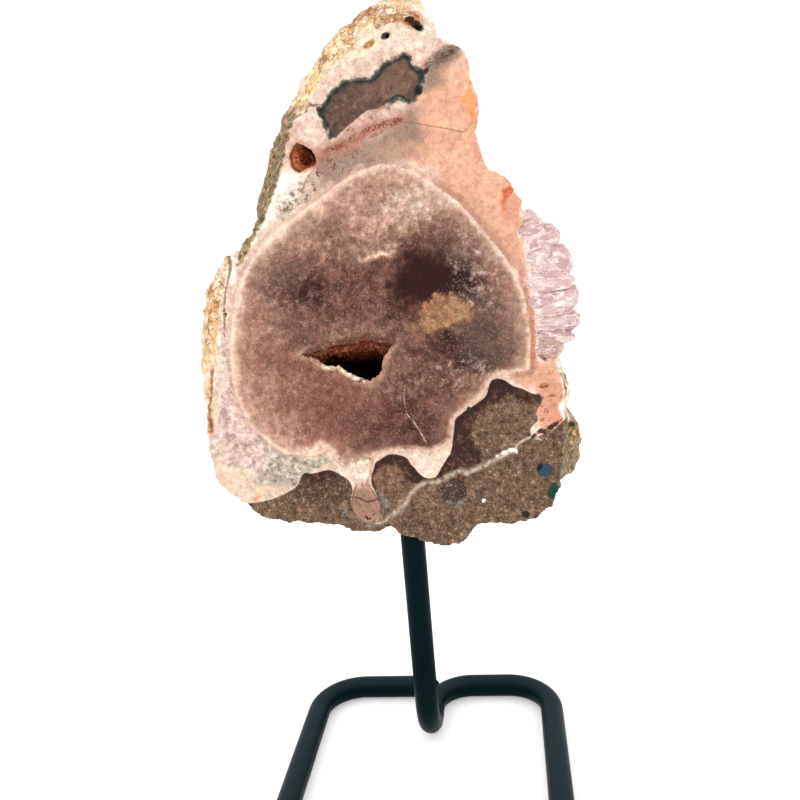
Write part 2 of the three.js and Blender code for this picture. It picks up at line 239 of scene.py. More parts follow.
# ---- helpers for materials ----
quartzIor = 1.544
stirSize, stirReach = 1.5, 1.6  # how cell patterns are bent out of straight, in mm
grainRange = (0.3, 0.7)  # the part of a noise that grain is read from
tintGain = 2.0  # brings a coloured noise to an average of one


def linear(hexColour):
    # sRGB hex to the linear colour that the shaders use.
    parts = [int(hexColour[i:i + 2], 16) / 255 for i in (1, 3, 5)]
    return (*[c / 12.92 if c <= 0.04045 else ((c + 0.055) / 1.055) ** 2.4 for c in parts], 1)


def perMm(size):
    # The scale of a texture whose features are this many mm apart.
    return 1 / (size * mm)


def addNode(tree, kind, inputs, output=0, **settings):
    # Adds a node with its settings, fills or links its inputs, and gives back one output socket.
    node = tree.nodes.new(kind)
    for name, value in settings.items():
        setattr(node, name, value)
    sockets = [socket for socket in node.inputs if socket.enabled]
    for key, value in inputs.items():
        socket = sockets[key] if isinstance(key, int) else next(s for s in sockets if s.name == key)
        if isinstance(value, bpy.types.NodeSocket):
            tree.links.new(value, socket)
        else:
            socket.default_value = value
    shown = [socket for socket in node.outputs if socket.enabled]
    return shown[output] if shown else node


def newMaterial(name):
    material = bpy.data.materials.new(name)
    material.use_nodes = True
    material.node_tree.nodes.clear()
    return material, partial(addNode, material.node_tree)


def addFields(add, coordinates, fields):
    # Noise and cell patterns by name, each from the size of its features in mm.
    stir = add("ShaderNodeTexNoise", {
        "Vector": coordinates, "Scale": perMm(stirSize), "Detail": 3,
    }, output=1)
    stirred = add("ShaderNodeVectorMath", {0: stir, 1: (stirReach * mm,) * 3, 2: coordinates},
                  operation="MULTIPLY_ADD")
    found = {}
    for name, (kind, size, settings) in fields.items():
        inputs = {"Vector": coordinates, "Scale": perMm(size), **settings}
        if kind == "noise":
            found[name] = add("ShaderNodeTexNoise", inputs)
        elif kind == "hue":
            found[name] = add("ShaderNodeTexNoise", inputs, output=1)
        elif kind == "mosaic":
            found[name] = add("ShaderNodeTexVoronoi", {**inputs, "Vector": stirred}, output=1)
        else:
            found[name] = add("ShaderNodeTexVoronoi", {**inputs, "Vector": stirred}, feature=kind)
    return found


def addLayers(add, colour, layers, fields, wobbleSource="wobble"):
    # Lays colours over each other. A layer is the value it follows, where that value starts it and
    # has it full, its colour, its share, and what else limits it: a wobble of its edge in mm, a
    # line on both sides of the value's zero, and other values that it shows through.
    values = {}

    def valueOf(name):
        if name not in values:
            values[name] = fields.get(name) or add(
                "ShaderNodeAttribute", {}, output=2, attribute_name=name)
        return values[name]

    for by, low, high, hexColour, share, *more in layers:
        limits = more[0] if more else {}
        wobble = limits.get("wobble", 0)
        value = valueOf(by)
        if limits.get("line"):
            value = add("ShaderNodeMath", {0: value}, operation="ABSOLUTE")
        if wobble:
            value = add("ShaderNodeMath", {0: fields[wobbleSource], 1: wobble * 2, 2: value},
                        operation="MULTIPLY_ADD")
        mask = add("ShaderNodeMapRange", {
            "Value": value, "From Min": low + wobble, "From Max": high + wobble,
            "To Min": 0, "To Max": share,
        }, interpolation_type="SMOOTHSTEP")
        for name, fieldLow, fieldHigh in limits.get("through", []):
            hole = add("ShaderNodeMapRange", {
                "Value": valueOf(name), "From Min": fieldLow, "From Max": fieldHigh,
            }, interpolation_type="SMOOTHSTEP")
            mask = add("ShaderNodeMath", {0: mask, 1: hole}, operation="MULTIPLY")
        colour = add("ShaderNodeMix", {"Factor": mask, "A": colour, "B": linear(hexColour)},
                     data_type="RGBA")
    return colour


def addGrain(add, colour, grain, fields):
    # Lightens and darkens the colour by each field, by the share given.
    for name, share in grain.items():
        if name in ("hue", "mosaic"):
            tint = add("ShaderNodeVectorMath", {0: fields[name], 1: (tintGain,) * 3},
                       operation="MULTIPLY")
            weight = share
        else:
            tint = add("ShaderNodeMapRange", {
                "Value": fields[name], "From Min": grainRange[0], "From Max": grainRange[1],
                "To Min": 1 - share, "To Max": 1 + share,
            })
            weight = 1.0
        colour = add("ShaderNodeMix", {"Factor": weight, "A": colour, "B": tint},
                     data_type="RGBA", blend_type="MULTIPLY")
    return colour


# ---- camera ----
# It stands a little above the slab and to its right, tipped down.
camera = {
    "at": (33.785, -262.182, 192.123),
    "pitchDown": 13.640,
    "yawLeft": 7.410,
    "rollLeft": 4.905,
    "focalPixels": 854.804,
    "imagePixels": 800,
    "sensorWidth": 36,
    "clip": (0.01, 50),  # in metres
}


def makeCamera():
    pitch = math.radians(camera["pitchDown"])
    yaw = -math.radians(camera["yawLeft"])
    roll = -math.radians(camera["rollLeft"])
    flat = math.cos(pitch)
    forward = Vector((math.sin(yaw) * flat, math.cos(yaw) * flat, -math.sin(pitch)))
    level = Vector((math.cos(yaw), -math.sin(yaw), 0))
    upright = level.cross(forward)
    right = level * math.cos(roll) + upright * math.sin(roll)
    up = upright * math.cos(roll) - level * math.sin(roll)
    data = bpy.data.cameras.new("camera")
    data.sensor_width = camera["sensorWidth"]
    data.lens = camera["focalPixels"] / camera["imagePixels"] * camera["sensorWidth"]
    data.clip_start, data.clip_end = camera["clip"]
    obj = bpy.data.objects.new("camera", data)
    turned = Matrix((right, up, -forward)).transposed().to_4x4()
    obj.matrix_world = Matrix.Translation(place(*camera["at"])) @ turned
    bpy.context.scene.collection.objects.link(obj)
    bpy.context.scene.camera = obj


makeCamera()
print("stage: camera")

# ---- stage and light ----
studio = {
    "floorSize": 12000,
    "floorColour": "#fdfdfd",
    "floorRoughness": 0.9,
    "floorSpecular": 0.1,
    "floorGlow": 0.3,  # white light that comes up through the paper
    "skyColour": "#ffffff",
    "skyStrength": 1.05,
    "keyAt": (-700, -900, 1300),
    "keySize": 1200,
    "keyWatts": 4,
    "fillAt": (900, -500, 700),
    "fillSize": 900,
    "fillWatts": 1,
    "aimAt": (0, 0, 120),  # both lights face this point
}


def softLight(name, at, size, watts):
    bpy.ops.object.light_add(type="AREA", location=place(*at))
    light = bpy.context.object
    light.name = name
    light.data.size = size * mm
    light.data.energy = watts
    aim = place(*studio["aimAt"]) - light.location
    light.rotation_euler = aim.to_track_quat("-Z", "Y").to_euler()


def makeStudio():
    deselectAll()
    softLight("keyLight", studio["keyAt"], studio["keySize"], studio["keyWatts"])
    softLight("fillLight", studio["fillAt"], studio["fillSize"], studio["fillWatts"])
    bpy.ops.mesh.primitive_plane_add(size=studio["floorSize"] * mm, location=place(0, 0, 0))
    floor = bpy.context.object
    floor.name = "floor"
    material, add = newMaterial("mattWhitePaper")
    shader = add("ShaderNodeBsdfPrincipled", {
        "Base Color": linear(studio["floorColour"]), "Roughness": studio["floorRoughness"],
        "Specular IOR Level": studio["floorSpecular"],
        "Emission Color": linear(studio["skyColour"]), "Emission Strength": studio["floorGlow"],
    })
    add("ShaderNodeOutputMaterial", {"Surface": shader})
    floor.data.materials.append(material)
    world = bpy.data.worlds.new("whiteStudio")
    world.use_nodes = True
    world.node_tree.nodes.clear()
    background = addNode(world.node_tree, "ShaderNodeBackground", {
        "Color": linear(studio["skyColour"]), "Strength": studio["skyStrength"],
    })
    addNode(world.node_tree, "ShaderNodeOutputWorld", {"Surface": background})
    bpy.context.scene.world = world
    bpy.context.scene.view_settings.view_transform = "Standard"


makeStudio()
print("stage: studio")

# ---- the polished slab ----
# What grew where in the slice: closed outlines on the sawn face, as [x, z] in mm.
zones = {
    "disc": [  # the amethyst filling, inside its pale rim
        (0.8, 200.1), (7.6, 198.7), (11.7, 196.5), (15.8, 193.3), (19.5, 190.5), (23.1, 187.4),
        (28.1, 181), (33.1, 174.2), (37.2, 167.4), (39.9, 160.5), (40.8, 153.3), (41.3, 148),
        (41, 142), (40.2, 137.5), (34.7, 137.2), (30, 136.8), (27.5, 133.4), (24.9, 129.3),
        (20.4, 126.6), (17, 123.8), (15.9, 118), (13.2, 115.6), (9.4, 113.8), (5.3, 114.3),
        (0, 114.6), (-8, 113.4), (-16, 111), (-17.9, 110.5), (-20.3, 112.4), (-22.6, 116.4),
        (-25.2, 114.6), (-31.7, 114.3), (-37.9, 115.7), (-43.1, 120.5), (-47, 124.8), (-50, 134.3),
        (-50.8, 140.5), (-50.3, 150), (-49.3, 154.3), (-47.3, 162.3), (-44, 170.3), (-38.7, 177.7),
        (-32, 183.7), (-24, 188.3), (-16, 193), (-8, 197.7),
    ],
    "basaltLeft": [
        (-56, 96), (-51, 98.8), (-45, 99.5), (-39.8, 101.2), (-35, 103.6), (-33.1, 106.2),
        (-31.7, 108.3), (-28.9, 108.1), (-25.5, 108.8), (-23.1, 109), (-20.8, 107.9),
        (-18.4, 106.2), (-17, 104.3), (-16.5, 101.9), (-17.2, 99.5), (-17.4, 96.7), (-16.5, 93.8),
        (-15, 91.4), (-11, 90.4), (-8, 90.8), (-4, 92.6), (-2, 84), (-14, 78), (-60, 82),
    ],
    "basaltRight": [
        (-10.4, 105), (-9, 110), (-7, 111.5), (-5, 112.8), (-3, 113.3), (-0.5, 112.8), (1.5, 111.8),
        (2.5, 110), (4, 108), (5.5, 106), (7, 105), (9, 104.8), (10.5, 105.5), (12, 108), (14, 111),
        (15.5, 113.5), (16.8, 120), (17.3, 123), (19, 124.8), (23, 127.3), (27, 130), (28, 132.5),
        (29, 134.8), (30.8, 135.5), (33, 134.8), (35.5, 132.8), (38, 132), (40.5, 130.5),
        (43, 129.5), (44, 128), (42, 124.5), (42.5, 122), (40.5, 120), (40, 118), (41, 116.4),
        (47, 118.6), (50.6, 121.6), (50.8, 116), (49.4, 108), (50, 101), (66, 96), (66, 76),
        (0, 74), (-9, 84), (-9.6, 90.6), (-8.4, 94), (-8.2, 97), (-9.6, 101.4),
    ],
    "drip": [  # pale nodule hanging from the rim between the basalts
        (-19, 112), (-17, 108.5), (-16, 105), (-15.8, 102.6), (-16.9, 99.4), (-17.3, 96.4),
        (-16.3, 93.4), (-14.4, 91.2), (-12, 90.7), (-10.3, 91.4), (-8.7, 93.6), (-8.1, 96.3),
        (-8.8, 98.8), (-10, 101.4), (-11, 104), (-9.9, 107), (-8.6, 111.5), (-12, 113.5),
    ],
    "inclusion": [
        (-12.9, 218.5), (-11.2, 220.4), (-9.3, 222), (-7.4, 223), (-5, 223.5), (-0.3, 223.2),
        (1.6, 223.7), (3, 225.6), (4.5, 226.6), (6.9, 227.5), (9.2, 228.5), (11.1, 229),
        (11.9, 227.5), (12.6, 225.6), (13.8, 224.2), (16.4, 224.9), (15.2, 222.3), (14, 220.4),
        (13.3, 218.5), (12.1, 217), (10.4, 216.3), (8.8, 217.5), (7.1, 217.8), (5.4, 216.8),
        (2.1, 215.6), (-0.8, 215.1), (-3.1, 214), (-5, 212.8), (-7.4, 211.3), (-9.3, 209.9),
        (-11.2, 208.5), (-12.4, 209.2), (-12.9, 210.9), (-14.6, 214.2), (-15.8, 216),
        (-13.6, 217.5),
    ],
    "mouth": [
        (-28.5, 146.5), (-24, 145), (-21.5, 142.5), (-19, 142), (-17, 142.5), (-15.5, 140.5),
        (-11, 137.5), (-7, 136.2), (-6.5, 137.5), (-4.5, 138), (-3, 142.5), (-1, 147), (0.5, 148),
        (-1.5, 149), (-6, 150), (-12, 149.5), (-18, 148.5), (-24, 147.2),
    ],
    "smallMouth": [
        (-25, 203), (-24, 201), (-22.5, 200), (-20.5, 200.5), (-18.5, 201), (-17, 202),
        (-17.5, 204.5), (-18, 206), (-20, 207.5), (-21.5, 208.5), (-24, 207.5), (-25, 205),
    ],
}
# Lines that cross the face: their corners, and half their width in mm.
seams = {
    "whiteVein": (0.8, [
        (-10, 90.5), (-7, 91.5), (-5, 93), (-1.5, 95), (0, 97), (2, 100.5), (5, 102.5),
        (7.5, 103.5), (10.5, 103.5), (13, 104.5), (15, 105.8), (18, 106.8), (20, 106), (23, 107.3),
        (26, 108.5), (29, 109.8), (32, 111.5), (34, 112.3),
    ]),
    "thinVein": (0.3, [
        (33, 111.9), (35, 112.8), (36, 114.5), (38, 115.8), (40, 116.6), (42.5, 115.8),
    ]),
    "redSeam": (0.5, [
        (-14.6, 205), (-7.4, 207), (-3.6, 208.5), (-0.8, 210.4), (2.1, 210.9), (4.5, 211.1),
        (7.6, 212),
    ]),
    "thinCrack": (0, [
        (7.8, 211.3), (11.6, 210.6), (16.4, 209.4), (21.1, 208.2), (25.4, 206.8), (26.9, 207.8),
    ]),
    "speckLine": (0.6, [
        (16.8, 225.4), (19.4, 227), (22, 227.6), (24.8, 229.6),
    ]),
    "greenTail": (0.35, [
        (-19.3, 216.3), (-17.7, 218.3), (-15.5, 217.9), (-13.6, 217.6),
    ]),
    "greenUpper": (0.45, [
        (-12.6, 209), (-13.6, 212.8), (-14.4, 215.4), (-13.6, 217.5), (-11.2, 220.4), (-7.4, 223),
        (-5, 223.5), (-0.3, 223.2), (1.6, 223.7), (4.5, 226.6), (9.2, 228.5), (11.1, 229),
        (12.6, 225.6), (14, 224.4), (15.2, 222.3), (13.3, 218.5), (12.1, 217), (10.4, 216.3),
        (8.8, 217.5), (7.1, 217.8), (5.4, 216.8),
    ]),
    "paleCrack": (0, [
        (3, 125.4), (4.4, 123.6), (5.8, 121.2), (7.7, 117),
    ]),
    "discCrack": (0, [
        (2.7, 134), (2.3, 130), (2.6, 126.6), (3, 125.4),
    ]),
    "leftCrack": (0, [
        (-44.6, 180), (-46.6, 175.4), (-48.6, 169.6), (-50.2, 164), (-50.9, 158), (-51.6, 154),
    ]),
    "leftEdge": (1.3, [  # rind that the saw just reached
        (-25.6, 211), (-28, 206), (-29.8, 200), (-32.3, 195), (-34.9, 189.8), (-37.6, 185.5),
        (-40.2, 182), (-42.6, 178.6), (-44.6, 175.6),
    ]),
    "leftStain": (0.5, [
        (-58.4, 141), (-58.6, 138), (-59.6, 134), (-59.8, 130), (-59.6, 126.6), (-60, 123.6),
    ]),
    "dripLine": (0, [
        (-16.8, 99.6), (-14.6, 99.2), (-12.4, 97.8), (-10.6, 98), (-8.8, 98.6),
    ]),
    "lowCrack": (0.6, [
        (40.6, 116.6), (42.4, 118.2), (44.6, 118), (46.4, 119.6), (48.8, 121.2),
    ]),
    "basaltRim": (1.2, [
        (10.5, 106.2), (12.8, 110), (15, 113.5), (16, 117), (17, 120.6), (18.4, 123.6),
        (21.6, 125.6), (25.4, 128), (28.2, 131), (30, 134), (33, 133.6), (36, 131.8),
    ]),
    "basaltRimLow": (0.8, [
        (-8.6, 109.4), (-6, 111.4), (-3, 112.2), (0, 111.8), (1.6, 110), (3.2, 107.4), (5, 105.4),
        (8, 104),
    ]),
    "orangeStripe": (0.6, [
        (42, 158), (42.2, 150), (41.9, 143), (41.4, 138.6),
    ]),
    "redStreak": (0.8, [
        (36.4, 190.5), (36, 187.5), (35.2, 184), (36.6, 180.5),
    ]),
}
fineSeams = ("thinCrack", "thinVein", "paleCrack", "discCrack", "leftCrack", "dripLine")
# Soft patches of tone: x, z, half width, half height, turn and strength.
patches = {
    "tone": [  # lighter and darker clouds in the disc
        (11.5, 168.5, 11, 9.5, 0, -0.44), (5, 161, 5, 5, 30, -0.04), (28.5, 165, 8, 9, 0, -0.15),
        (11, 165.5, 6, 4.5, 0, -0.2), (18, 179.5, 5, 3.5, 0, -0.12), (0, 170, 5, 6, 0, 0.06),
        (-8, 121, 18, 7, 0, -0.07), (8, 118, 9, 7, 0, -0.12), (14, 128, 7, 9, 0, -0.08),
        (28, 140.5, 9, 4, 10, -0.34), (-10, 152.5, 13, 3, 0, 0.13), (31, 183, 4, 7, 30, -0.06),
        (16, 165.5, 5, 4, 0, -0.2), (4, 172, 5, 6, 0, 0.08), (6, 160, 3, 4, 0, 0.08),
        (-5, 180.5, 4, 4, 0, 0.12), (4, 179.5, 4, 2.6, 0, -0.08), (16, 180, 4, 3, 0, 0.08),
        (15, 163.8, 6, 3.4, 0, -0.2), (23, 167, 5, 5, 0, -0.12), (30, 153, 5, 6, 0, -0.2),
        (26, 140, 7, 3, 0, -0.14), (36, 134, 6, 4, 0, -0.08), (6, 130, 5, 4, 0, -0.08),
        (-38, 174, 6, 4, 0, 0.05), (0, 166, 3, 4, 0, 0.08), (-20, 176, 5, 4, 0, 0.12),
        (8, 136, 8, 5, 0, -0.14), (8, 115, 8, 3, 0, -0.26), (0, 184, 10, 5, 0, 0.1),
        (-2, 176, 6, 3, 0, 0.1), (-39.5, 180, 5, 3, 45, 0.12), (-30, 164, 6, 5, 0, 0.09),
        (-4, 173.8, 2, 1.3, 14, 0.2), (0.4, 175.8, 2.4, 1.2, 14, 0.14),
        (-26, 116.8, 4.4, 1.8, 5, 0.36), (30, 127, 3, 3, 0, -0.06), (-35, 153, 4, 8, 0, 0.11),
        (-15, 120, 4, 3, 0, 0.1), (-30, 120, 4, 3, 0, -0.12), (-7, 119, 5, 4, 0, -0.09),
        (24, 165, 4, 4, 0, -0.12), (-45, 135, 2, 4, 0, 0.1), (10, 154.5, 4, 3, 0, -0.12),
        (20, 124.6, 3, 3, 0, -0.2), (16, 131, 5, 5, 0, -0.1), (-10, 115, 8, 4, 0, -0.1),
        (18, 146, 12, 5, 0, -0.1), (5, 188, 7, 5, 0, 0.08), (-47, 162, 3, 14, -14, 0.16),
        (-50, 143, 2, 10, 0, 0.1), (-33, 184.5, 10, 3, 46, 0.14), (-39, 179.5, 6, 4, 45, 0.08),
        (4, 155, 4, 5, 0, -0.08), (25, 162, 4, 4, 0, -0.1), (25, 140.6, 6, 3, 0, -0.1),
        (30, 130, 4, 5, 0, -0.1), (-20, 118, 8, 6, 0, -0.1), (15, 147, 10, 5, 0, -0.08),
        (-22, 184, 17, 6, 15, 0.1), (-35, 178, 7, 7, 40, 0.05), (2, 183, 7, 6, 0, 0.06),
        (-24, 165, 5, 3.5, 0, -0.1), (-27, 167, 10, 5.5, -8, -0.19), (-35.5, 172, 6, 5, 30, -0.11),
        (-12, 160, 26, 14, 0, -0.12), (26, 146, 15, 7.5, 0, -0.19), (25, 139, 9, 3.5, 15, 0.13),
        (30, 134.5, 5, 3, 0, -0.1), (19, 131, 4, 4, 0, -0.08), (3, 123, 15, 8, 0, -0.22),
        (-17, 125, 12, 7, 0, -0.17), (24, 133, 6, 4, 30, -0.14), (-14, 155, 9, 5, 0, 0.06),
        (-37, 128, 10, 11, -20, 0.08), (-24, 180, 11, 6, 20, -0.1), (-14, 186, 7, 5, 10, -0.06),
        (10, 189, 9, 4, -15, 0.17), (21, 181, 7, 5, -30, -0.05), (4, 184, 6, 4, 0, 0.12),
        (-2, 175, 4.2, 1.3, 14, 0.36), (-5, 187, 8, 4, 0, 0.06), (-10, 116.5, 10, 3, 0, -0.1),
        (22, 176, 6, 4, 0, -0.08), (36, 158, 4, 10, 0, -0.05), (-21, 164.5, 4, 2, 0, 0.06),
        (8, 150.5, 8, 2, 20, 0.05), (14, 156.5, 8, 6, 0, 0.06), (33, 176, 4, 7, 30, 0.06),
    ],
    "ochre": [
        (15, 158.4, 4.6, 3.2, 0, 0.85), (13.4, 154.6, 5, 4, 0, 0.9), (20, 156.8, 4.6, 3.8, 0, 0.7),
        (8, 152, 5, 2, 20, 0.5), (24, 156, 4, 4, 0, 0.25),
    ],
    "calm": [(9.5, 168.5, 10.5, 9, 0, 0.9), (6, 161, 5, 5, 0, 0.8), (-26, 166, 5, 3, 0, 0.7)],
    "rosy": [(-32, 132, 18, 16, -30, 1), (-44, 150, 8, 22, 0, 0.8), (-14, 128, 18, 12, 0, 0.7)],
    "ashen": [
        (30, 150, 12, 14, 0, 1), (24, 176, 12, 8, 0, 0.7), (-34, 172, 10, 8, 0, 0.8),
        (-20, 184, 14, 6, 0, 0.5), (8, 190, 14, 6, 0, 0.6),
    ],
    "frost": [  # where pale flecks crowd in the disc
        (10, 188, 13, 7, -15, 1), (27, 168, 8, 13, 0, 1), (22, 138, 12, 6, 0, 0.8),
        (-6, 178, 14, 6, 0, 0.6), (-30, 166, 12, 8, 0, 0.5), (2, 132, 10, 12, 0, 0.4),
        (-22, 116, 10, 3, 0, 0.5),
    ],
    # painted light: the thin edges made near white where light shines through them, over their own
    # pale quartz
    "glow": [
        (-36, 187, 12, 2.4, 46, 1), (-46.4, 173.5, 5, 1.3, 64, 0.6), (-28, 195, 6, 4, 50, 0.8),
        (35, 200, 3, 8, 35, 0.5), (51, 126, 1.4, 8, 0, 0.9),
    ],
    "specks": [
        (-23, 194, 9, 4, 20, 0.9), (-14, 199, 8, 4, 25, 1), (-28, 190, 4, 2, 35, 0.5),
        (21.6, 227.3, 4.4, 1.8, 32, 1.1), (-2, 204, 9, 3, 0, 0.6), (-18, 214, 4, 5, 0, 0.3),
        (-12, 202.6, 7, 3.4, 25, 0.9), (-22.5, 195.6, 3.4, 2.4, 30, 0.7),
        (-2, 226.5, 6, 1.4, 10, 0.6), (6, 215, 6, 1.6, 5, 0.7), (-26, 210, 2, 3, 0, 0.6),
        (-40, 104, 4, 4, 0, 0.5),
    ],
    "cream": [
        (8.5, 109.2, 5, 5, 0, 1), (-14.5, 109.5, 6, 3, 0, 0.9), (-27.5, 115.3, 5, 1.8, 4, 1),
        (28, 136.6, 6, 1.6, 0, 0.5), (-27, 192, 12, 5, 33, 1), (-24, 199, 6, 4, 0, 0.6),
        (3.5, 113.9, 13, 1.5, 0, 0.8), (-13.5, 105.5, 3, 4.5, 0, 0.7),
        (-12, 226.5, 8, 1.8, 25, 0.7), (-22, 116, 3, 2.4, 0, 0.7), (22, 130.4, 7, 1.6, 32, 0.8),
        (12, 232.6, 8, 3.2, 0, 0.7),
    ],
    "peach": [
        (28, 195, 12, 16, 30, 1), (25, 214, 7, 12, 0, 0.9), (40, 183, 5, 10, 20, 0.7),
        (46.5, 127, 4.5, 12, 0, 1), (34.6, 176, 4, 10, 35, 0.9), (45.4, 138, 4.6, 5, 0, 0.9),
        (38.6, 135, 4, 2.6, -10, 0.8), (9, 203, 16, 4, -10, 0.35), (42.5, 160, 3, 25, 0, 0.7),
        (17, 214, 6, 6, 0, 0.5), (12, 241, 8, 3, 0, 0.5),
    ],
    "orange": [
        (28.4, 213.5, 2.6, 7, 0, 1), (47.5, 124, 2.4, 7, 0, 0.4), (-47, 99.8, 1.8, 0.9, 10, 1),
        (7, 240, 6, 2, 0, 0.4), (-57, 104, 4, 4, -40, 0.4),
    ],
    "ember": [(36.6, 190, 2, 1.7, 40, 1), (35.6, 187, 1.4, 2, 0, 0.7)],
    "rust": [
        (-13, 230.6, 1.8, 1.3, 20, 1), (-7.5, 238, 1.6, 0.9, 30, 0.9), (0.8, 232.6, 2.2, 1, 25, 1),
        (4.2, 237.6, 1.6, 1.8, 0, 1), (8, 239, 4.4, 1.8, 0, 0.9), (14, 238, 3.4, 3, -20, 0.9),
        (1, 241, 4, 1.6, 20, 0.8), (-3, 238.6, 2.4, 1, 30, 0.8), (-25.6, 209.6, 1.7, 1, 30, 0.9),
        (-19, 224, 1.4, 0.8, 50, 0.5), (3, 242, 3, 1, 10, 0.6), (-5, 234.5, 3, 1, 30, 0.5),
        (-24, 98.5, 1.4, 0.6, 0, 0.3), (44.7, 132.3, 1.7, 0.9, 6, 0.9),
        (46.5, 129, 2, 0.6, 10, 0.6), (44, 122, 1.5, 1, 60, 0.5), (47, 118, 1, 2, 0, 0.4),
    ],
    "warm": [(5, 222.5, 9, 6, 20, 1)],
    "redDark": [
        (-1, 210, 3.4, 0.9, 12, 1), (5.4, 211.3, 3.6, 1.1, 10, 1.2), (-11.5, 206, 3.4, 0.8, 8, 0.9),
        (-15, 203.4, 1.6, 0.8, 20, 0.8), (-6.6, 208.2, 1.8, 0.7, 30, 0.8),
        (44.7, 132.4, 1.4, 0.7, 6, 1.2), (46.8, 129.4, 1.1, 0.5, 10, 1),
        (45, 124.6, 0.6, 1.1, 40, 1), (43.6, 121.8, 0.9, 0.6, 0, 1),
        (47.6, 126.2, 0.5, 0.8, 0, 0.9), (46.2, 122.4, 0.7, 0.5, 0, 1),
        (42.8, 126.4, 0.8, 0.6, 0, 0.9),
    ],
    "tawny": [  # the brownish quartz between the disc and the dark inclusion
        (4, 204.5, 17, 5, 8, 0.9), (-14, 203, 8, 4, 20, 0.6), (-15, 197.6, 10, 3, 30, 0.5),
        (22, 227.5, 4, 1.8, 30, 0.7), (-18, 201, 7, 4, 30, 0.5), (12, 212, 9, 3, 0, 0.45),
        (15, 212, 9, 8, 0, 0.3), (19, 206, 10, 8, 0, 0.25), (19, 220, 4, 6, 0, 0.8),
        (21, 225, 4, 3, 20, 0.8),
    ],
    "brick": [(46.5, 127, 4.5, 12, 0, 1), (39, 184, 4, 7, 20, 0.8)],
    "plum": [
        (-55, 128.5, 1.9, 1.1, 0, 1), (-53.4, 121.4, 2, 1.2, 0, 1), (-54.4, 112.6, 1.9, 1.2, 0, 1),
        (-50, 118.4, 1.6, 1, 0, 0.9), (-57.6, 119, 1.4, 1, 0, 0.7), (-47.6, 124, 1.4, 1, 0, 0.8),
        (-52.6, 137, 1.6, 1.2, 0, 0.6), (-48.6, 113, 1.6, 1, 0, 0.8), (-44, 116.6, 1.6, 1, 0, 0.8),
        (-54.4, 134, 1.2, 1.6, 0, 0.6),
    ],
    "bruise": [
        (-13, 203.8, 6, 2.4, 22, 1), (-6, 207, 6, 2.6, 22, 1), (3, 210.2, 7, 1.8, 12, 0.9),
        (-16, 199.4, 6, 1.6, 28, 0.8), (-4, 210.6, 9, 2.4, 22, 0.6), (1.5, 215, 8, 1.2, 18, 0.6),
        (4, 226.2, 6, 1.2, 30, 0.5),
    ],
    "lilac": [
        (-47, 116, 11, 13, 20, 1), (-54, 140, 3.5, 26, 0, 0.9), (-55, 122, 6, 8, 0, 0.7),
        (46, 145, 5, 5, 0, 0.7), (-10, 213, 16, 4, 20, 0.3),
    ],
    "ash": [
        (-39, 109, 9, 5.4, 10, 1), (-29, 111.6, 9, 2.2, 4, 0.9), (-42, 119, 5, 3.4, -40, 0.7),
        (-20, 109, 3, 1.4, 20, 0.5), (-24, 106, 1, 1, 0, 0.2),
    ],
    "buff": [
        (-50, 104, 9, 5, -30, 1), (-56, 110, 4, 8, 0, 0.6), (-42, 102.4, 6, 2, 15, 0.6),
        (-55, 146, 3, 15, 0, 0.7), (-57.6, 126, 2, 10, 0, 0.7),
    ],
    "yellow": [
        (-2, 230.6, 5, 1.3, 18, 1), (-14, 226.5, 6, 1.8, 45, 0.7), (3, 236, 6, 3, 20, 0.6),
        (-8, 234, 8, 2.4, 40, 0.7), (-20, 222, 3, 8, -50, 0.6), (13, 236.6, 4, 3, 0, 0.5),
        (50, 118, 2, 3, 0, 0.6),
    ],
    "teal": [
        (46, 99, 1.7, 3.2, -15, 1), (21.8, 126.5, 0.9, 0.8, 0, 1), (44, 128.6, 0.9, 0.9, 0, 0.6),
    ],
    "slate": [(43.8, 105.8, 2.5, 2.3, 0, 1.1)],
    "jet": [
        (42.2, 106.8, 1, 1.6, -20, 1), (37.3, 91.6, 1.5, 1.4, 0, 1.1),
        (13.7, 219.2, 1.7, 1.5, -30, 0.9), (16.2, 224, 1.9, 0.7, 50, 0.9),
        (-15.2, 216.8, 1.1, 1.2, 0, 0.8), (43, 129.4, 1.6, 1, -40, 0.7),
        (-50.4, 98.6, 1.6, 0.5, 10, 0.9),
    ],
    "violet": [(15.4, 100.2, 4.6, 4.2, 0, 1.1)],
    "haze": [
        (15, 97, 4.4, 1.8, 0, 1), (-19.6, 93.4, 2.2, 3, 0, 0.8), (-6.6, 97, 1.6, 4, 0, 0.8),
        (-11, 90.4, 5, 1, 0, 0.8), (20, 92, 8, 3, 0, 0.3),
    ],
    "bubble": [(-4.6, 104.6, 5.4, 5.6, 0, 1.1)],
    "umber": [  # where the basalt is darkest, along the quartz
        (15, 110, 7, 7.5, 20, 1.2), (14, 108, 5, 4, 0, 0.6), (19.6, 112.5, 5, 6, 0, 1.1),
        (18.5, 121, 3, 4, 0, 0.9), (22, 127.4, 9.4, 3.7, 33, 1.1), (31, 133, 7, 4.4, 0, 1.1),
        (40, 129.6, 5, 3, -25, 0.9), (-4, 111.5, 7, 3.6, 0, 1), (4.6, 106, 5, 3.6, -40, 1),
        (8, 103.8, 4, 1.4, 0, 1), (-26, 107, 8, 2.6, 0, 0.9), (-10, 103, 1.4, 4, 0, 0.8),
        (-9.4, 109, 2, 3, 0, 1),
    ],
    "ball": [(-12.6, 96.4, 6.4, 6.2, 0, 1.5)],
    "shade": [(-25, 103, 14, 7, 0, 1), (-11, 100, 3, 8, 0, 0.5)],
    # the main hollow's lower lip: its own pale quartz, with a painted highlight along its edge
    "lipLow": [
        (-19.6, 141.6, 4.5, 1.5, -10, 0.9), (-14.5, 139.8, 5, 1.7, -33, 1.1),
        (-9, 137, 3, 1.2, -20, 0.3), (-0.6, 146.6, 1.4, 1.8, -35, 0.5),
        (-26, 145.4, 3, 0.8, -20, 0.45),
    ],
    "lipHigh": [
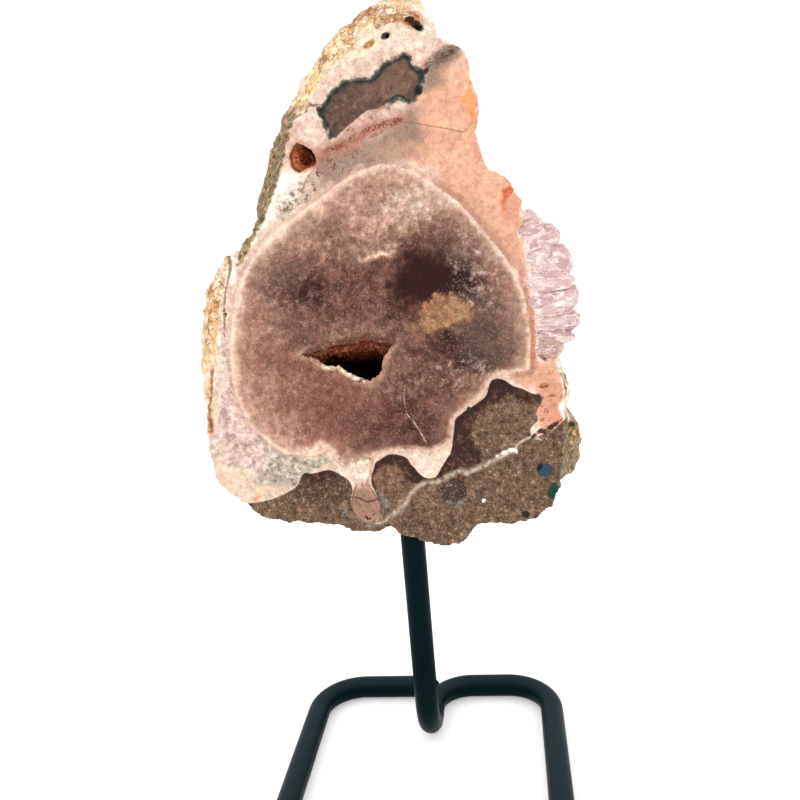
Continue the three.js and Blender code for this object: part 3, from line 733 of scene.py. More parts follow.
        (-9, 149.8, 12, 1.8, 3, 1), (-20, 147.8, 7, 1.5, 8, 0.9), (-26, 146.8, 3, 1.2, 8, 0.6),
        (-1, 149.2, 3, 1.4, -10, 0.6),
    ],
    # painted shade: the pits are painted near black, as dark as the shade inside them
    "pit": [
        (5.6, 234.3, 1.7, 1.2, 10, 1), (14.4, 236.2, 3.4, 1.4, -37, 1),
        (12.4, 238, 1.2, 0.7, 0, 0.8), (-12.6, 92.3, 1.6, 0.6, -40, 1),
        (-10.6, 93.4, 1.2, 0.5, 40, 0.8), (-26.5, 205.1, 0.7, 0.6, 0, 1),
        (49.6, 180, 1, 1.4, 40, 0.6), (53, 117, 2.4, 1.1, -20, 0.9), (54, 119.6, 1, 1, 0, 0.8),
        (-14.4, 242, 0.8, 0.5, 40, 0.5),
    ],
    "spark": [
        (24.5, 96.8, 0.8, 0.8, 0, 1), (31.6, 112, 1.1, 0.8, 20, 0.9),
        (33.8, 112.9, 1.2, 0.8, 0, 0.9), (35.4, 112.2, 0.7, 1, 0, 0.8),
        (29.6, 111.2, 0.8, 0.5, 10, 0.8), (-4.6, 105, 0.5, 0.5, 0, 0.9),
    ],
    "rindOchre": [
        (-56, 166, 7, 12, 0, 1), (-50, 178, 6, 5, 0, 0.9), (-60, 150, 4, 8, 0, 0.9),
        (-8, 236, 12, 6, 40, 0.9), (5, 243, 10, 4, 0, 0.8), (54, 116, 4, 8, 0, 0.6),
        (-60, 128, 3, 8, 0, 0.8), (-22, 219, 8, 4, 50, 0.8), (-14, 229, 7, 4, 45, 0.9),
    ],
    "rindOlive": [
        (-32, 196, 8, 18, -24, 1.2), (-24, 214, 7, 5, -38, 0.3), (53, 108, 6, 12, 0, 1),
        (-40, 184, 8, 6, 0, 1.2), (-44, 178.6, 4, 3, 0, 0.9), (53, 129, 3, 5, 0, 0.5),
    ],
    "rindPeach": [
        (34, 195, 12, 20, 30, 1), (28, 215, 8, 16, 0, 1), (-60, 140, 6, 16, 0, 0.4),
        (50, 140, 4, 6, 0, 0.7), (-56, 164, 5, 12, 0, 0.6),
    ],
}
straySize, strayReach = 4.5, 2.2  # how soft patches are made to end raggedly, in mm
strayDetail = 3
straySeed = 46  # keeps the swirls the same each time
driftSize, driftReach = 26, 9  # how the growth wanders between the two sawn faces, in mm
driftLean = (2, 0, -2.5)
tightPatches = ("pit", "spark", "jet", "slate", "teal", "violet", "bubble", "lipLow", "redDark",
                "rust")
discTone = [  # how bright the disc is, this many mm in from its rim
    (0, 0.98), (0.9, 0.87), (1.9, 0.77), (3, 0.75), (5, 0.68), (9, 0.57), (14, 0.49), (25, 0.45),
]
slab = {
    "grain": 0.7,  # the copy is rebuilt in faces of this size, so the rind can be sculpted
    "recess": [  # what makes room for the side crystals
        (41.5, 183.5), (42, 177), (42.4, 170), (42.8, 160), (43.2, 152), (43.4, 146), (44.5, 141),
        (80, 136), (80, 196), (45, 189),
    ],
    "recessCoreY": -8.9,  # behind this the core stays, under the crystals
    "coreRecess": [
        (44.5, 182.8), (47.5, 177), (48.8, 170), (49.6, 160), (49.6, 152), (48.8, 146), (48, 142),
        (80, 138), (80, 196), (46, 189),
    ],
    "lumps": [  # texture, size in mm, how deep it cuts, and how much of it stands out
        ("CLOUDS", 6.5, 1.8, 0.4), ("VORONOI", 3.2, 1.2, 0.3), ("CLOUDS", 1.5, 0.7, 0.45),
    ],
    "chipWidth": 0.5,
    "mouthMargin": 1,  # the skin stays plain this near a mouth
    "fadeWidth": 3,  # and has its full relief this much further out
    "recessMargin": 1.5,  # the relief stops this far outside the recess
    "weightSteps": 10,
    "rootMargin": 1.2,  # the crystals' roots are this much wider than the recess
    "sawnNormal": 0.9,  # a face counts as sawn when it looks this straight to front or back
    "sawnDepth": 0.3,
    "seed": 5,
    "cutMargin": 1,  # cutters stand this far out of the sawn faces
    "lipDepth": 1.4,  # a thin broken lip stands round each hollow
    "lipShare": (0.98, 0.925),  # how much of the hollow's width and height the lip leaves open
    "lipRoom": (0.9, 0.84),  # the clean opening made first, so the hollow stays hollow
    "mouthStep": 0.8,  # the broken edge has a corner about this often
    "mouthSwing": {"mouth": 0.35, "smallMouth": 0.25},
    "mouthDepth": 2,
    "smallOpening": [  # the small hollow's own broken edge
        (-25.1, 203.6), (-24.8, 201.9), (-23.8, 200.5), (-22.6, 200), (-21.2, 200.5),
        (-19.6, 201.2), (-17.7, 201.7), (-17.2, 202.5), (-17.5, 204.2), (-18.5, 205),
        (-19.6, 206.3), (-21, 207.3), (-21.8, 208), (-22.4, 208.6), (-23.1, 207.9), (-24.2, 207.1),
        (-24.9, 205.6),
    ],
}


def extrudedCutter(name, outline, lowY, highY):
    bpy.ops.mesh.primitive_circle_add(vertices=len(outline), radius=mm, fill_type="NGON")
    cutter = bpy.context.object
    cutter.name = name
    for vertex, (x, z) in zip(cutter.data.vertices, outline):
        vertex.co = place(x, lowY, z)
    bpy.ops.object.mode_set(mode="EDIT")
    bpy.ops.mesh.select_all(action="SELECT")
    depth = (0, (highY - lowY) * mm, 0)
    bpy.ops.mesh.extrude_region_move(TRANSFORM_OT_translate={"value": depth})
    bpy.ops.mesh.select_all(action="SELECT")
    bpy.ops.mesh.normals_make_consistent(inside=False)
    bpy.ops.object.mode_set(mode="OBJECT")
    return cutter


def shrunk(outline, share):
    outline = np.array(outline, float)
    middle = (outline.min(axis=0) + outline.max(axis=0)) / 2
    return middle + (outline - middle) * share


def cutAway(obj, cutter):
    applyModifier(obj, "BOOLEAN", object=cutter, operation="DIFFERENCE", solver="EXACT")
    bpy.data.objects.remove(cutter)


def distanceToHollows(points):
    return np.maximum(signedDistance(points, np.array(zones["mouth"], float)),
                      signedDistance(points, np.array(zones["smallMouth"], float)))


def sculptRind(piece):
    # Lumps, pits and ridges on the natural skin. The sawn faces are put back to their planes.
    before = inMillimetres(readPoints(piece.data))
    onFront = before[:, 1] < -slabHalf + slab["chipWidth"]
    onBack = before[:, 1] > slabHalf - slab["chipWidth"]
    hollow = distanceToHollows(before[:, [0, 2]])
    weight = np.clip((-hollow - slab["mouthMargin"]) / slab["fadeWidth"], 0, 1)
    toRecess = signedDistance(before[:, [0, 2]], np.array(slab["recess"], float))
    weight[toRecess > -slab["recessMargin"]] = 0
    group = piece.vertex_groups.new(name="rind")
    steps = slab["weightSteps"]
    for step in range(steps + 1):
        chosen = np.flatnonzero(np.round(weight * steps) == step)
        group.add(chosen.tolist(), step / steps, "REPLACE")
    for kind, size, depth, level in slab["lumps"]:
        texture = bpy.data.textures.new(f"{kind}{size}", kind)
        texture.noise_scale = size * mm
        applyModifier(piece, "DISPLACE", texture=texture, texture_coords="LOCAL",
                      vertex_group="rind", strength=depth * mm, mid_level=level)
    after = inMillimetres(readPoints(piece.data))
    after[:, 1] = np.clip(after[:, 1], -slabHalf, slabHalf)
    after[onFront, 1] = -slabHalf
    after[onBack, 1] = slabHalf
    low, high = (inMillimetres(np.array(corner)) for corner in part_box("amethyst_slab"))
    writePoints(piece.data, np.clip(after, low, high) * mm + np.array(stem))
    piece.vertex_groups.clear()


def markZones(piece):
    # The zones, seams and patches as values on the mesh, for the materials to read.
    points = inMillimetres(readPoints(piece.data))
    recess = signedDistance(points[:, [0, 2]], np.array(slab["recess"], float))
    noise.seed_set(straySeed)
    grown = drifted(points)
    sawn = grown[:, [0, 2]]
    distances = {name: signedDistance(sawn, smoothOutline(outline))
                 for name, outline in zones.items()}
    basalt = np.maximum(distances.pop("basaltLeft"), distances.pop("basaltRight"))
    distances["basalt"] = np.minimum(basalt, -distances["drip"])
    distances["sideEdge"] = recess
    for name, values in distances.items():
        addValues(piece.data, name, values)
    for name, (halfWidth, corners) in seams.items():
        line = np.array(corners, float)
        addValues(piece.data, name, halfWidth - lineDistance(sawn, line))
        if name in fineSeams:
            addValues(piece.data, name + "Side", sideDistance(sawn, line))
    addValues(piece.data, "front", points[:, 1] < 0)
    moved = strayed(grown + (0, slabHalf, 0), straySize, strayReach)
    for name, spots in patches.items():
        values = softPatches(sawn if name in tightPatches else moved, spots)
        if name == "tone":
            values += np.interp(distances["disc"], *zip(*discTone))
        addValues(piece.data, name, values)


def chooseMaterials(piece, materials):
    # Slot 0 is the sawn face, 1 the natural skin, 2 the quartz under the side crystals.
    for material in materials:
        piece.data.materials.append(material)
    mesh = piece.data
    centres = np.zeros(len(mesh.polygons) * 3)
    normals = np.zeros(len(mesh.polygons) * 3)
    mesh.polygons.foreach_get("center", centres)
    mesh.polygons.foreach_get("normal", normals)
    centres = inMillimetres(centres.reshape(-1, 3))
    normals = normals.reshape(-1, 3)
    flat = np.abs(normals[:, 1]) > slab["sawnNormal"]
    flat &= np.abs(centres[:, 1]) > slabHalf - slab["sawnDepth"]
    toRecess = signedDistance(centres[:, [0, 2]], np.array(slab["recess"], float))
    slots = np.where(flat, 0, np.where(toRecess > -slab["rootMargin"], 2, 1))
    mesh.polygons.foreach_set("material_index", slots.astype(np.int32))


faceFields = {
    "wobble": ("noise", 1.6, {"Detail": 4, "Roughness": 0.6}),
    "cloud": ("noise", 8, {"Detail": 5, "Roughness": 0.6, "Distortion": 0.6}),
    "mist": ("noise", 4, {"Detail": 5, "Roughness": 0.66, "Distortion": 1.2}),
    "grain": ("noise", 1.8, {"Detail": 4, "Roughness": 0.8}),
    "fleck": ("noise", 0.6, {"Detail": 1}),  # drawn coarser than real so it shows
    "hue": ("hue", 2.4, {"Detail": 3}),
    "mosaic": ("mosaic", 1.5, {}),
}
onFront = ("front", 0.3, 0.7)  # only on the polished side
inBasalt = ("basalt", 0, 0.4)
offCalm = ("calm", 0.7, 0.3)  # not where the disc is even
groundLayers = [
    # quartz round the disc: interlocked grains, white to pink
    ("cloud", 0.46, 0.64, "#cda391", 0.6),
    ("mosaic", 0.5, 0.7, "#ecd6c8", 0.4),
    ("mosaic", 0.45, 0.2, "#c6a293", 0.3),
    ("mist", 0.52, 0.64, "#f5e4d6", 0.6),
    ("mist", 0.44, 0.32, "#b8968a", 0.4),
    ("tawny", 0.1, 0.9, "#8b7261", 0.9),
    ("tawny", 0.2, 0.9, "#6f5749", 0.6, {"through": [("grain", 0.52, 0.62)]}),
    ("lilac", 0.1, 0.8, "#d4b2a6", 0.9),
    ("lilac", 0.2, 0.8, "#b49a98", 0.45, {"through": [("mosaic", 0.4, 0.25)]}),
    ("lilac", 0.2, 0.8, "#e9d3c7", 0.6, {"through": [("mist", 0.52, 0.64)]}),
    ("lilac", 0.2, 0.8, "#a08880", 0.6, {"through": [("mist", 0.45, 0.34)]}),
    ("lilac", 0.2, 0.7, "#f8ece4", 0.45, {"through": [("grain", 0.54, 0.64)]}),
    ("lilac", 0.2, 0.7, "#8c7672", 0.5, {"through": [("grain", 0.45, 0.38)]}),
    ("buff", 0.2, 0.8, "#e2cab2", 0.8),
    ("buff", 0.2, 0.8, "#b6967a", 0.5, {"through": [("mist", 0.5, 0.62)]}),
    ("ash", 0.2, 0.7, "#aca08f", 0.85),
    ("ash", 0.2, 0.7, "#ddd5c7", 0.65, {"through": [("grain", 0.54, 0.62)]}),
    ("ash", 0.2, 0.7, "#75695b", 0.75, {"through": [("grain", 0.46, 0.38)]}),
    ("peach", 0.05, 0.8, "#e2a98a", 0.95),
    ("peach", 0.3, 1.0, "#cf947c", 0.6, {"through": [("cloud", 0.5, 0.64)]}),
    ("peach", 0.3, 1.0, "#c98d76", 0.4, {"through": [("mist", 0.45, 0.34)]}),
    ("disc", -7, -0.5, "#c08c76", 0.7, {"through": [("peach", 0.2, 0.7)]}),
    ("brick", 0.2, 0.9, "#cb8e76", 0.6),
    ("brick", 0.3, 0.9, "#8a4a38", 0.8, {"through": [("grain", 0.55, 0.62)]}),
    ("orange", 0.1, 0.8, "#e7955a", 0.85),
    ("cream", 0.1, 0.7, "#e3cbb6", 0.95),
    ("cream", 0.2, 0.8, "#ead5c1", 0.6, {"through": [("grain", 0.5, 0.62)]}),
    ("cream", 0.3, 0.9, "#b59b8a", 0.5, {"through": [("fleck", 0.42, 0.34)]}),
    # painted light shining through the thin edges
    ("glow", 0.1, 0.7, "#fcf2e4", 0.9),
    ("specks", 0.15, 0.8, "#a78e7e", 0.7, {"through": [("grain", 0.42, 0.54)]}),
    ("specks", 0.2, 0.9, "#594840", 0.85, {"through": [("grain", 0.54, 0.6)]}),
    ("bruise", 0.2, 0.8, "#a37468", 0.6, {"through": [("mist", 0.38, 0.54)]}),
    ("bruise", 0.3, 0.9, "#59382f", 0.85, {"through": [("grain", 0.51, 0.57)]}),
    ("yellow", 0.2, 0.8, "#efe0b8", 0.9),
    ("yellow", 0.3, 0.9, "#e0c552", 0.8, {"through": [("grain", 0.52, 0.62)]}),
    ("rust", 0.15, 0.7, "#c58a4c", 0.8, {"wobble": 0.3}),
    ("rust", 0.2, 0.7, "#834a1e", 0.9, {"wobble": 0.3, "through": [("grain", 0.46, 0.54)]}),
    ("sideEdge", -2.4, -0.6, "#e8c9be", 0.8, {"wobble": 1.0}),
    ("sideEdge", -1.9, -0.4, "#fbf3ee", 0.7, {"wobble": 1.0, "through": [("fleck", 0.52, 0.6)]}),
    ("disc", -1.6, -0.9, "#b98878", 0.35),
    ("disc", -2.6, -1.2, "#ad7c69", 0.6, {"wobble": 0.5, "through": [("peach", 0.15, 0.6)]}),
]
discLayers = [
    ("rosy", 0.15, 0.9, "#94584a", 0.3),
    ("ashen", 0.15, 0.9, "#6b5a4e", 0.4),
    ("ochre", 0.3, 0.75, "#98694a", 0.75, {"wobble": 0.9}),
    ("ochre", 0.25, 0.8, "#bd9870", 0.4, {"through": [("mist", 0.46, 0.58)]}),
    ("ochre", 0.25, 0.8, "#7d5c40", 0.5, {"through": [("grain", 0.47, 0.38)]}),
    ("frost", 0.2, 0.9, "#b09a8c", 0.45, {"through": [("mist", 0.48, 0.66), offCalm]}),
    ("frost", 0.2, 0.9, "#dacbbe", 0.4,
     {"through": [("grain", 0.52, 0.66), ("mist", 0.4, 0.54), offCalm]}),
    ("fleck", 0.58, 0.7, "#c9ada0", 0.2, {"through": [("disc", 2, 5), offCalm]}),
]
faceLayers = [
    ("disc", 1.7, 0.3, "#e9c8b3", 0.5,
     {"wobble": 0.6, "through": [("disc", -0.5, 0.2), ("mist", 0.36, 0.56)]}),
    ("paleCrackSide", 0.34, 0.1, "#d4b5a2", 0.6,
     {"line": True, "through": [("paleCrack", -1.1, -0.8), ("fleck", 0.3, 0.5)]}),
    ("discCrackSide", 0.34, 0.1, "#b79585", 0.4,
     {"line": True, "through": [("discCrack", -1.1, -0.8), ("fleck", 0.35, 0.5)]}),
    # painted highlight along the main hollow's lower lip
    ("lipLow", 0.2, 0.8, "#d9b597", 0.9,
     {"wobble": 1.6, "through": [("mouth", -1.7, -0.5), onFront]}),
    ("lipLow", 0.3, 0.8, "#f0e0cc", 0.9,
     {"wobble": 1.2, "through": [("mouth", -0.8, -0.3), ("grain", 0.44, 0.54), onFront]}),
    ("mouth", -2.6, -0.2, "#b98c76", 0.7,
     {"wobble": 0.8, "through": [("lipHigh", 0.3, 0.1), ("lipLow", 0.6, 0.2), onFront]}),
    ("lipHigh", 0.25, 0.9, "#5b2c1d", 0.85,
     {"wobble": 0.5, "through": [("grain", 0.44, 0.52), onFront]}),
    # seams
    ("redSeam", -3.2, 0.2, "#c08674", 0.6, {"wobble": 1.6}),
    ("redSeam", -1.2, 0.5, "#96503f", 0.8, {"wobble": 1.4, "through": [("grain", 0.42, 0.52)]}),
    ("speckLine", -2.2, 0.2, "#7a5f50", 0.8, {"wobble": 1.4, "through": [("mist", 0.34, 0.5)]}),
    ("speckLine", -1.2, 0.4, "#3a2a25", 0.85, {"wobble": 1.2, "through": [("grain", 0.48, 0.54)]}),
    ("redDark", 0.2, 0.8, "#6d3226", 0.9, {"through": [("fleck", 0.46, 0.54)]}),
    ("thinCrackSide", 0.3, 0.08, "#8f5e4c", 0.7,
     {"line": True, "through": [("thinCrack", -1.1, -0.8)]}),
    ("leftCrackSide", 0.5, 0.15, "#5e3f2f", 0.8,
     {"wobble": 0.3, "line": True,
      "through": [("leftCrack", -1.3, -0.9), ("grain", 0.42, 0.54), onFront]}),
    ("leftEdge", -0.5, 0.5, "#7c6849", 1, {"wobble": 1.4, "through": [onFront]}),
    ("leftEdge", -0.4, 0.6, "#a9733f", 0.6,
     {"wobble": 1.2, "through": [("mist", 0.52, 0.6), onFront]}),
    ("leftEdge", -0.3, 0.7, "#c6ac82", 0.65,
     {"wobble": 1.2, "through": [("grain", 0.52, 0.6), onFront]}),
    ("leftEdge", -0.3, 0.7, "#43341f", 0.8,
     {"wobble": 1.2, "through": [("grain", 0.47, 0.39), onFront]}),
    ("leftStain", -1.4, 0.3, "#d59250", 0.7, {"wobble": 1.2, "through": [onFront]}),
    ("leftStain", -0.6, 0.4, "#5f3416", 0.85,
     {"wobble": 1.2, "through": [("grain", 0.38, 0.5), onFront]}),
    ("plum", 0.3, 0.8, "#9d8084", 0.7, {"wobble": 0.4}),
    ("orangeStripe", -0.5, 0.5, "#c07750", 0.8, {"wobble": 0.5}),
    ("redStreak", -0.7, 0.6, "#c86c48", 0.5, {"wobble": 0.9, "through": [("grain", 0.4, 0.55)]}),
    ("ember", 0.3, 0.8, "#c2501f", 0.9, {"wobble": 0.2, "through": [("grain", 0.36, 0.52)]}),
    ("smallMouth", -0.9, 0, "#b5745c", 0.6, {"wobble": 0.3, "through": [onFront]}),
    # basalt
    ("basalt", -0.15, 0.2, "#674f3d", 1, {"wobble": 0.35}),
    ("basalt", 0, 0.4, "#866855", 0.5, {"through": [("cloud", 0.5, 0.62)]}),
    ("basalt", 0, 0.4, "#5d4c38", 0.4, {"through": [("mist", 0.48, 0.34)]}),
    ("shade", 0.2, 0.9, "#4d382b", 0.85, {"through": [inBasalt]}),
    ("bubble", 0.35, 0.6, "#785745", 0.8, {"through": [inBasalt]}),
    ("haze", 0.25, 0.8, "#766e69", 0.8, {"wobble": 0.1, "through": [inBasalt]}),
    ("umber", 0.3, 0.8, "#33201b", 0.94,
     {"wobble": 0.2, "through": [inBasalt, ("bubble", 0.7, 0.4)]}),
    ("violet", 0.4, 0.65, "#3f302e", 0.9, {"through": [inBasalt]}),
    ("grain", 0.54, 0.68, "#a88f78", 0.65, {"through": [inBasalt, ("umber", 0.8, 0.4)]}),
    ("grain", 0.5, 0.6, "#6a4636", 0.75, {"through": [inBasalt, ("umber", 0.4, 0.8)]}),
    ("fleck", 0.55, 0.7, "#b09c86", 0.25, {"through": [inBasalt, ("umber", 0.9, 0.4)]}),
    ("fleck", 0.45, 0.33, "#2b1e17", 0.3, {"through": [inBasalt]}),
    ("grain", 0.47, 0.36, "#36261c", 0.7, {"through": [inBasalt]}),
    ("basaltRim", -0.9, 0.7, "#301a18", 0.85, {"wobble": 0.7, "through": [("basalt", -0.1, 0.3)]}),
    ("basaltRimLow", -0.9, 0.7, "#331e1a", 0.85,
     {"wobble": 0.7, "through": [("basalt", -0.1, 0.3)]}),
    ("teal", 0.35, 0.6, "#1c3d33", 1, {"wobble": 0.15}),
    ("slate", 0.4, 0.55, "#2e434e", 1, {"wobble": 0.1}),
    ("whiteVein", -0.7, 0.1, "#86725f", 0.85, {"wobble": 1.3}),
    ("whiteVein", 0, 0.6, "#bfac9c", 0.85,
     {"wobble": 1.2, "through": [("mist", 0.4, 0.52), ("grain", 0.4, 0.48)]}),
    ("thinVeinSide", 0.5, 0.2, "#c4b2a2", 0.8,
     {"wobble": 0.15, "line": True, "through": [("thinVein", -0.9, -0.5)]}),
    ("lowCrack", -0.3, 0.2, "#1f120d", 0.95, {"wobble": 1.2}),
    ("spark", 0.3, 0.7, "#f5eee4", 0.9, {"wobble": 0.2}),
    # the drip
    ("drip", -0.5, 0.1, "#5f3f34", 0.85, {"wobble": 0.25, "through": [("ball", 0.3, 0.6)]}),
    ("drip", 0.1, 0.6, "#b38c79", 1, {"wobble": 0.3, "through": [("cream", 0.8, 0.4)]}),
    ("drip", 0.4, 1.4, "#8a6656", 0.85,
     {"wobble": 0.6, "through": [("mist", 0.5, 0.4), ("ball", 0.2, 0.6)]}),
    ("drip", 0.4, 1.4, "#eadacb", 0.8,
     {"wobble": 0.6, "through": [("grain", 0.52, 0.62), ("cream", 0.2, 0.6)]}),
    ("ball", 0.5, 1.1, "#86614f", 0.7, {"through": [("drip", 0.2, 0.8), ("mist", 0.44, 0.56)]}),
    ("ball", 0.5, 1.1, "#5a3d32", 0.6, {"through": [("drip", 0.2, 0.8), ("grain", 0.52, 0.6)]}),
    ("dripLineSide", 0.5, 0.15, "#54362c", 0.85,
     {"wobble": 0.3, "line": True, "through": [("dripLine", -1.2, -0.8), ("grain", 0.34, 0.46)]}),
    # the inclusion and its green rim
    ("inclusion", -0.2, 0.3, "#5d473e", 1, {"wobble": 0.5}),
    ("inclusion", 0.3, 1.2, "#72564a", 0.8, {"through": [("warm", 0.1, 0.9)]}),
    ("inclusion", 0.2, 1, "#937868", 0.4, {"through": [("grain", 0.54, 0.68)]}),
    ("inclusion", 0.2, 1, "#33231f", 0.45, {"through": [("grain", 0.46, 0.34)]}),
    ("greenUpper", -0.8, 0.2, "#122923", 0.9, {"wobble": 1.2}),
    ("greenUpper", -0.1, 0.4, "#3f6252", 0.6, {"wobble": 0.9, "through": [("grain", 0.52, 0.62)]}),
    ("greenTail", -0.4, 0.2, "#1f362e", 0.8, {"wobble": 0.5}),
    ("jet", 0.4, 0.7, "#101312", 0.9, {"wobble": 0.2}),
    # painted shade in the pits
    ("pit", 0.4, 0.8, "#1d100c", 0.95, {"wobble": 0.2}),
]
face = {
    "groundColour": "#dcbcab",
    "calmRim": 7,  # the disc is even at its rim and cloudy from this far in
    "roughness": (0.3, 0.5),  # polished quartz, and the softer basalt
    "toneNoise": {"cloud": 0.5, "mist": 0.55, "grain": 0.5},
    "grain": {"grain": 0.3, "fleck": 0.1, "hue": 0.12},
    "toneColours": [
        (0.0, "#2a100c"), (0.14, "#371c17"), (0.3, "#583930"), (0.45, "#755145"), (0.6, "#936b5c"),
        (0.75, "#b48b79"), (0.9, "#dab5a1"), (1.0, "#efd2be"),
    ],
    "calmShare": 0.3,  # of the disc's clouds is left at its rim
    "discEdge": (0.3, 0.8),  # where the disc's colours take over, in mm past its wobbling rim
    "bumpDepth": 0.03, "bumpStrength": 0.25, "specular": 0.1,
}


def polishedGeode():
    # Quartz and basalt, sawn and polished: cloudy colour with a soft wet gleam.
    material, add = newMaterial("polishedGeode")
    coordinates = add("ShaderNodeTexCoord", {}, output=3)
    fields = addFields(add, coordinates, faceFields)
    colour = addLayers(add, linear(face["groundColour"]), groundLayers, fields)
    tone = add("ShaderNodeAttribute", {}, output=2, attribute_name="tone")
    depth = add("ShaderNodeAttribute", {}, output=2, attribute_name="disc")
    stir = add("ShaderNodeMapRange", {
        "Value": depth, "From Max": face["calmRim"], "To Min": face["calmShare"],
    })
    for name, share in face["toneNoise"].items():
        swing = add("ShaderNodeMath", {0: fields[name], 1: 0.5}, operation="SUBTRACT")
        swing = add("ShaderNodeMath", {0: swing, 1: stir}, operation="MULTIPLY")
        tone = add("ShaderNodeMath", {0: swing, 1: share, 2: tone}, operation="MULTIPLY_ADD")
    disc = add("ShaderNodeValToRGB", {"Fac": tone})
    ramp = disc.node.color_ramp
    while len(ramp.elements) < len(face["toneColours"]):
        ramp.elements.new(0.5)
    for element, (position, hexColour) in zip(ramp.elements, face["toneColours"]):
        element.position, element.color = position, linear(hexColour)
    disc = addLayers(add, disc, discLayers, fields)
    inDisc = add("ShaderNodeMath", {0: fields["wobble"], 1: depth}, operation="ADD")
    inDisc = add("ShaderNodeMapRange", {
        "Value": inDisc, "From Min": face["discEdge"][0], "From Max": face["discEdge"][1],
    }, interpolation_type="SMOOTHSTEP")
    colour = add("ShaderNodeMix", {"Factor": inDisc, "A": colour, "B": disc}, data_type="RGBA")
    colour = addLayers(add, colour, faceLayers, fields)
    colour = addGrain(add, colour, face["grain"], fields)
    basalt = add("ShaderNodeAttribute", {}, output=2, attribute_name="basalt")
    smooth, dull = face["roughness"]
    roughness = add("ShaderNodeMapRange", {
        "Value": basalt, "From Min": -0.3, "From Max": 0.3, "To Min": smooth, "To Max": dull,
    })
    bump = add("ShaderNodeBump", {
        "Height": fields["grain"], "Strength": face["bumpStrength"],
        "Distance": face["bumpDepth"] * mm,
    })
    shader = add("ShaderNodeBsdfPrincipled", {
        "Base Color": colour, "Roughness": roughness, "IOR": quartzIor, "Normal": bump,
        "Specular IOR Level": face["specular"],
    })
    add("ShaderNodeOutputMaterial", {"Surface": shader})
    return material


rindFields = {
    "wobble": ("noise", 2.2, {"Detail": 4, "Roughness": 0.6}),
    "cloud": ("noise", 6, {"Detail": 6, "Roughness": 0.6, "Distortion": 0.6}),
    "mist": ("noise", 2.4, {"Detail": 4, "Roughness": 0.65}),
    "grain": ("noise", 1.8, {"Detail": 4, "Roughness": 0.8}),
    "fleck": ("noise", 0.6, {"Detail": 1}),
    "hue": ("hue", 2.0, {"Detail": 2}),
    "mosaic": ("mosaic", 2.6, {}),
    "edges": ("DISTANCE_TO_EDGE", 2.6, {}),
}
rindLayers = [
    # lumps of quartz, each with its own stain and a dark joint round it
    ("mosaic", 0.5, 0.65, "#fcf1e2", 0.6),
    ("mist", 0.5, 0.62, "#fbefe0", 0.7),
    ("mist", 0.44, 0.32, "#cfa98a", 0.7),
    ("rindPeach", 0.1, 0.8, "#e9ae8a", 0.9, {"wobble": 0.8}),
    ("rindPeach", 0.3, 0.9, "#cf7f5a", 0.5, {"through": [("mosaic", 0.42, 0.3)]}),
    ("rindOchre", 0.1, 0.7, "#e2b47c", 0.85, {"wobble": 0.8}),
    ("rindOchre", 0.2, 0.8, "#f8ead4", 0.7, {"through": [("mosaic", 0.48, 0.6)]}),
    ("rindOchre", 0.2, 0.8, "#f6e0c2", 0.7, {"through": [("mist", 0.5, 0.6)]}),
    ("rindPeach", 0.3, 0.7, "#d8924f", 0.75,
     {"through": [("rindOchre", 0.2, 0.8), ("cloud", 0.43, 0.51)]}),
    ("rindOchre", 0.2, 0.8, "#c98a4a", 0.6, {"through": [("mist", 0.47, 0.36)]}),
    ("rindOchre", 0.2, 0.8, "#7a5232", 0.8,
     {"through": [("edges", 0.1, 0.02), ("cloud", 0.44, 0.52)]}),
    # painted light shining through the thin edges
    ("glow", 0.2, 0.7, "#fff6ea", 0.9),
    ("rindOlive", 0.15, 0.7, "#7d6848", 0.95, {"wobble": 0.8}),
    ("rindOlive", 0.2, 0.8, "#a9733f", 0.5, {"through": [("cloud", 0.52, 0.6)]}),
    ("rindOlive", 0.2, 0.8, "#c9b088", 0.65, {"through": [("grain", 0.52, 0.6)]}),
    ("rindOlive", 0.2, 0.8, "#45361f", 0.8, {"through": [("grain", 0.47, 0.39)]}),
    ("rindOlive", 0.2, 0.8, "#2d2619", 0.7, {"through": [("fleck", 0.58, 0.66)]}),
    ("yellow", 0.2, 0.8, "#e8cf6a", 0.7, {"through": [("grain", 0.5, 0.6)]}),
    ("rust", 0.2, 0.7, "#9a5a24", 0.9, {"through": [("grain", 0.44, 0.52)]}),
    ("basalt", -2.0, 0.5, "#6b5946", 1, {"wobble": 1.5}),
    ("basalt", -1, 1, "#957e58", 0.7, {"through": [("mosaic", 0.52, 0.64)]}),
    ("basalt", -1, 1, "#2e241d", 0.6, {"through": [("fleck", 0.45, 0.34)]}),
    ("basalt", -1, 1, "#bba67e", 0.6, {"through": [("fleck", 0.58, 0.68)]}),
    ("mouth", -1.6, -0.6, "#5d3426", 1, {"wobble": 0.3}),
    ("mouth", 0.2, 0.9, "#4a2417", 1),
    # painted light: the small hollow's lip wall is painted pale tan so that it looks lit in its
    # shade
    ("smallMouth", -1.6, -0.6, "#d09172", 1, {"wobble": 0.3}),
    # painted highlight along the main hollow's lower lip
    ("lipLow", 0.2, 0.6, "#ead0b6", 1, {"wobble": 0.2, "through": [("mouth", -1.6, -0.6)]}),
    ("leftCrackSide", 0.7, 0.2, "#5f4030", 0.8,
     {"wobble": 0.3, "line": True, "through": [("leftCrack", -1.5, -1.0)]}),
    ("leftStain", -1.4, 0.3, "#d59250", 0.7, {"wobble": 1.2, "through": [onFront]}),
    ("leftStain", -0.6, 0.4, "#5f3416", 0.85, {"wobble": 1.2, "through": [("grain", 0.38, 0.5)]}),
    # painted shade in the pits
    ("pit", 0.3, 0.8, "#1d100c", 0.95, {"wobble": 0.2}),
]
rind = {
    "groundColour": "#eed6be", "roughness": 0.6, "specular": 0.2,
    "bumpDepth": 0.6, "bumpStrength": 0.7,
    "grain": {"grain": 0.4, "fleck": 0.1, "hue": 0.16},
}


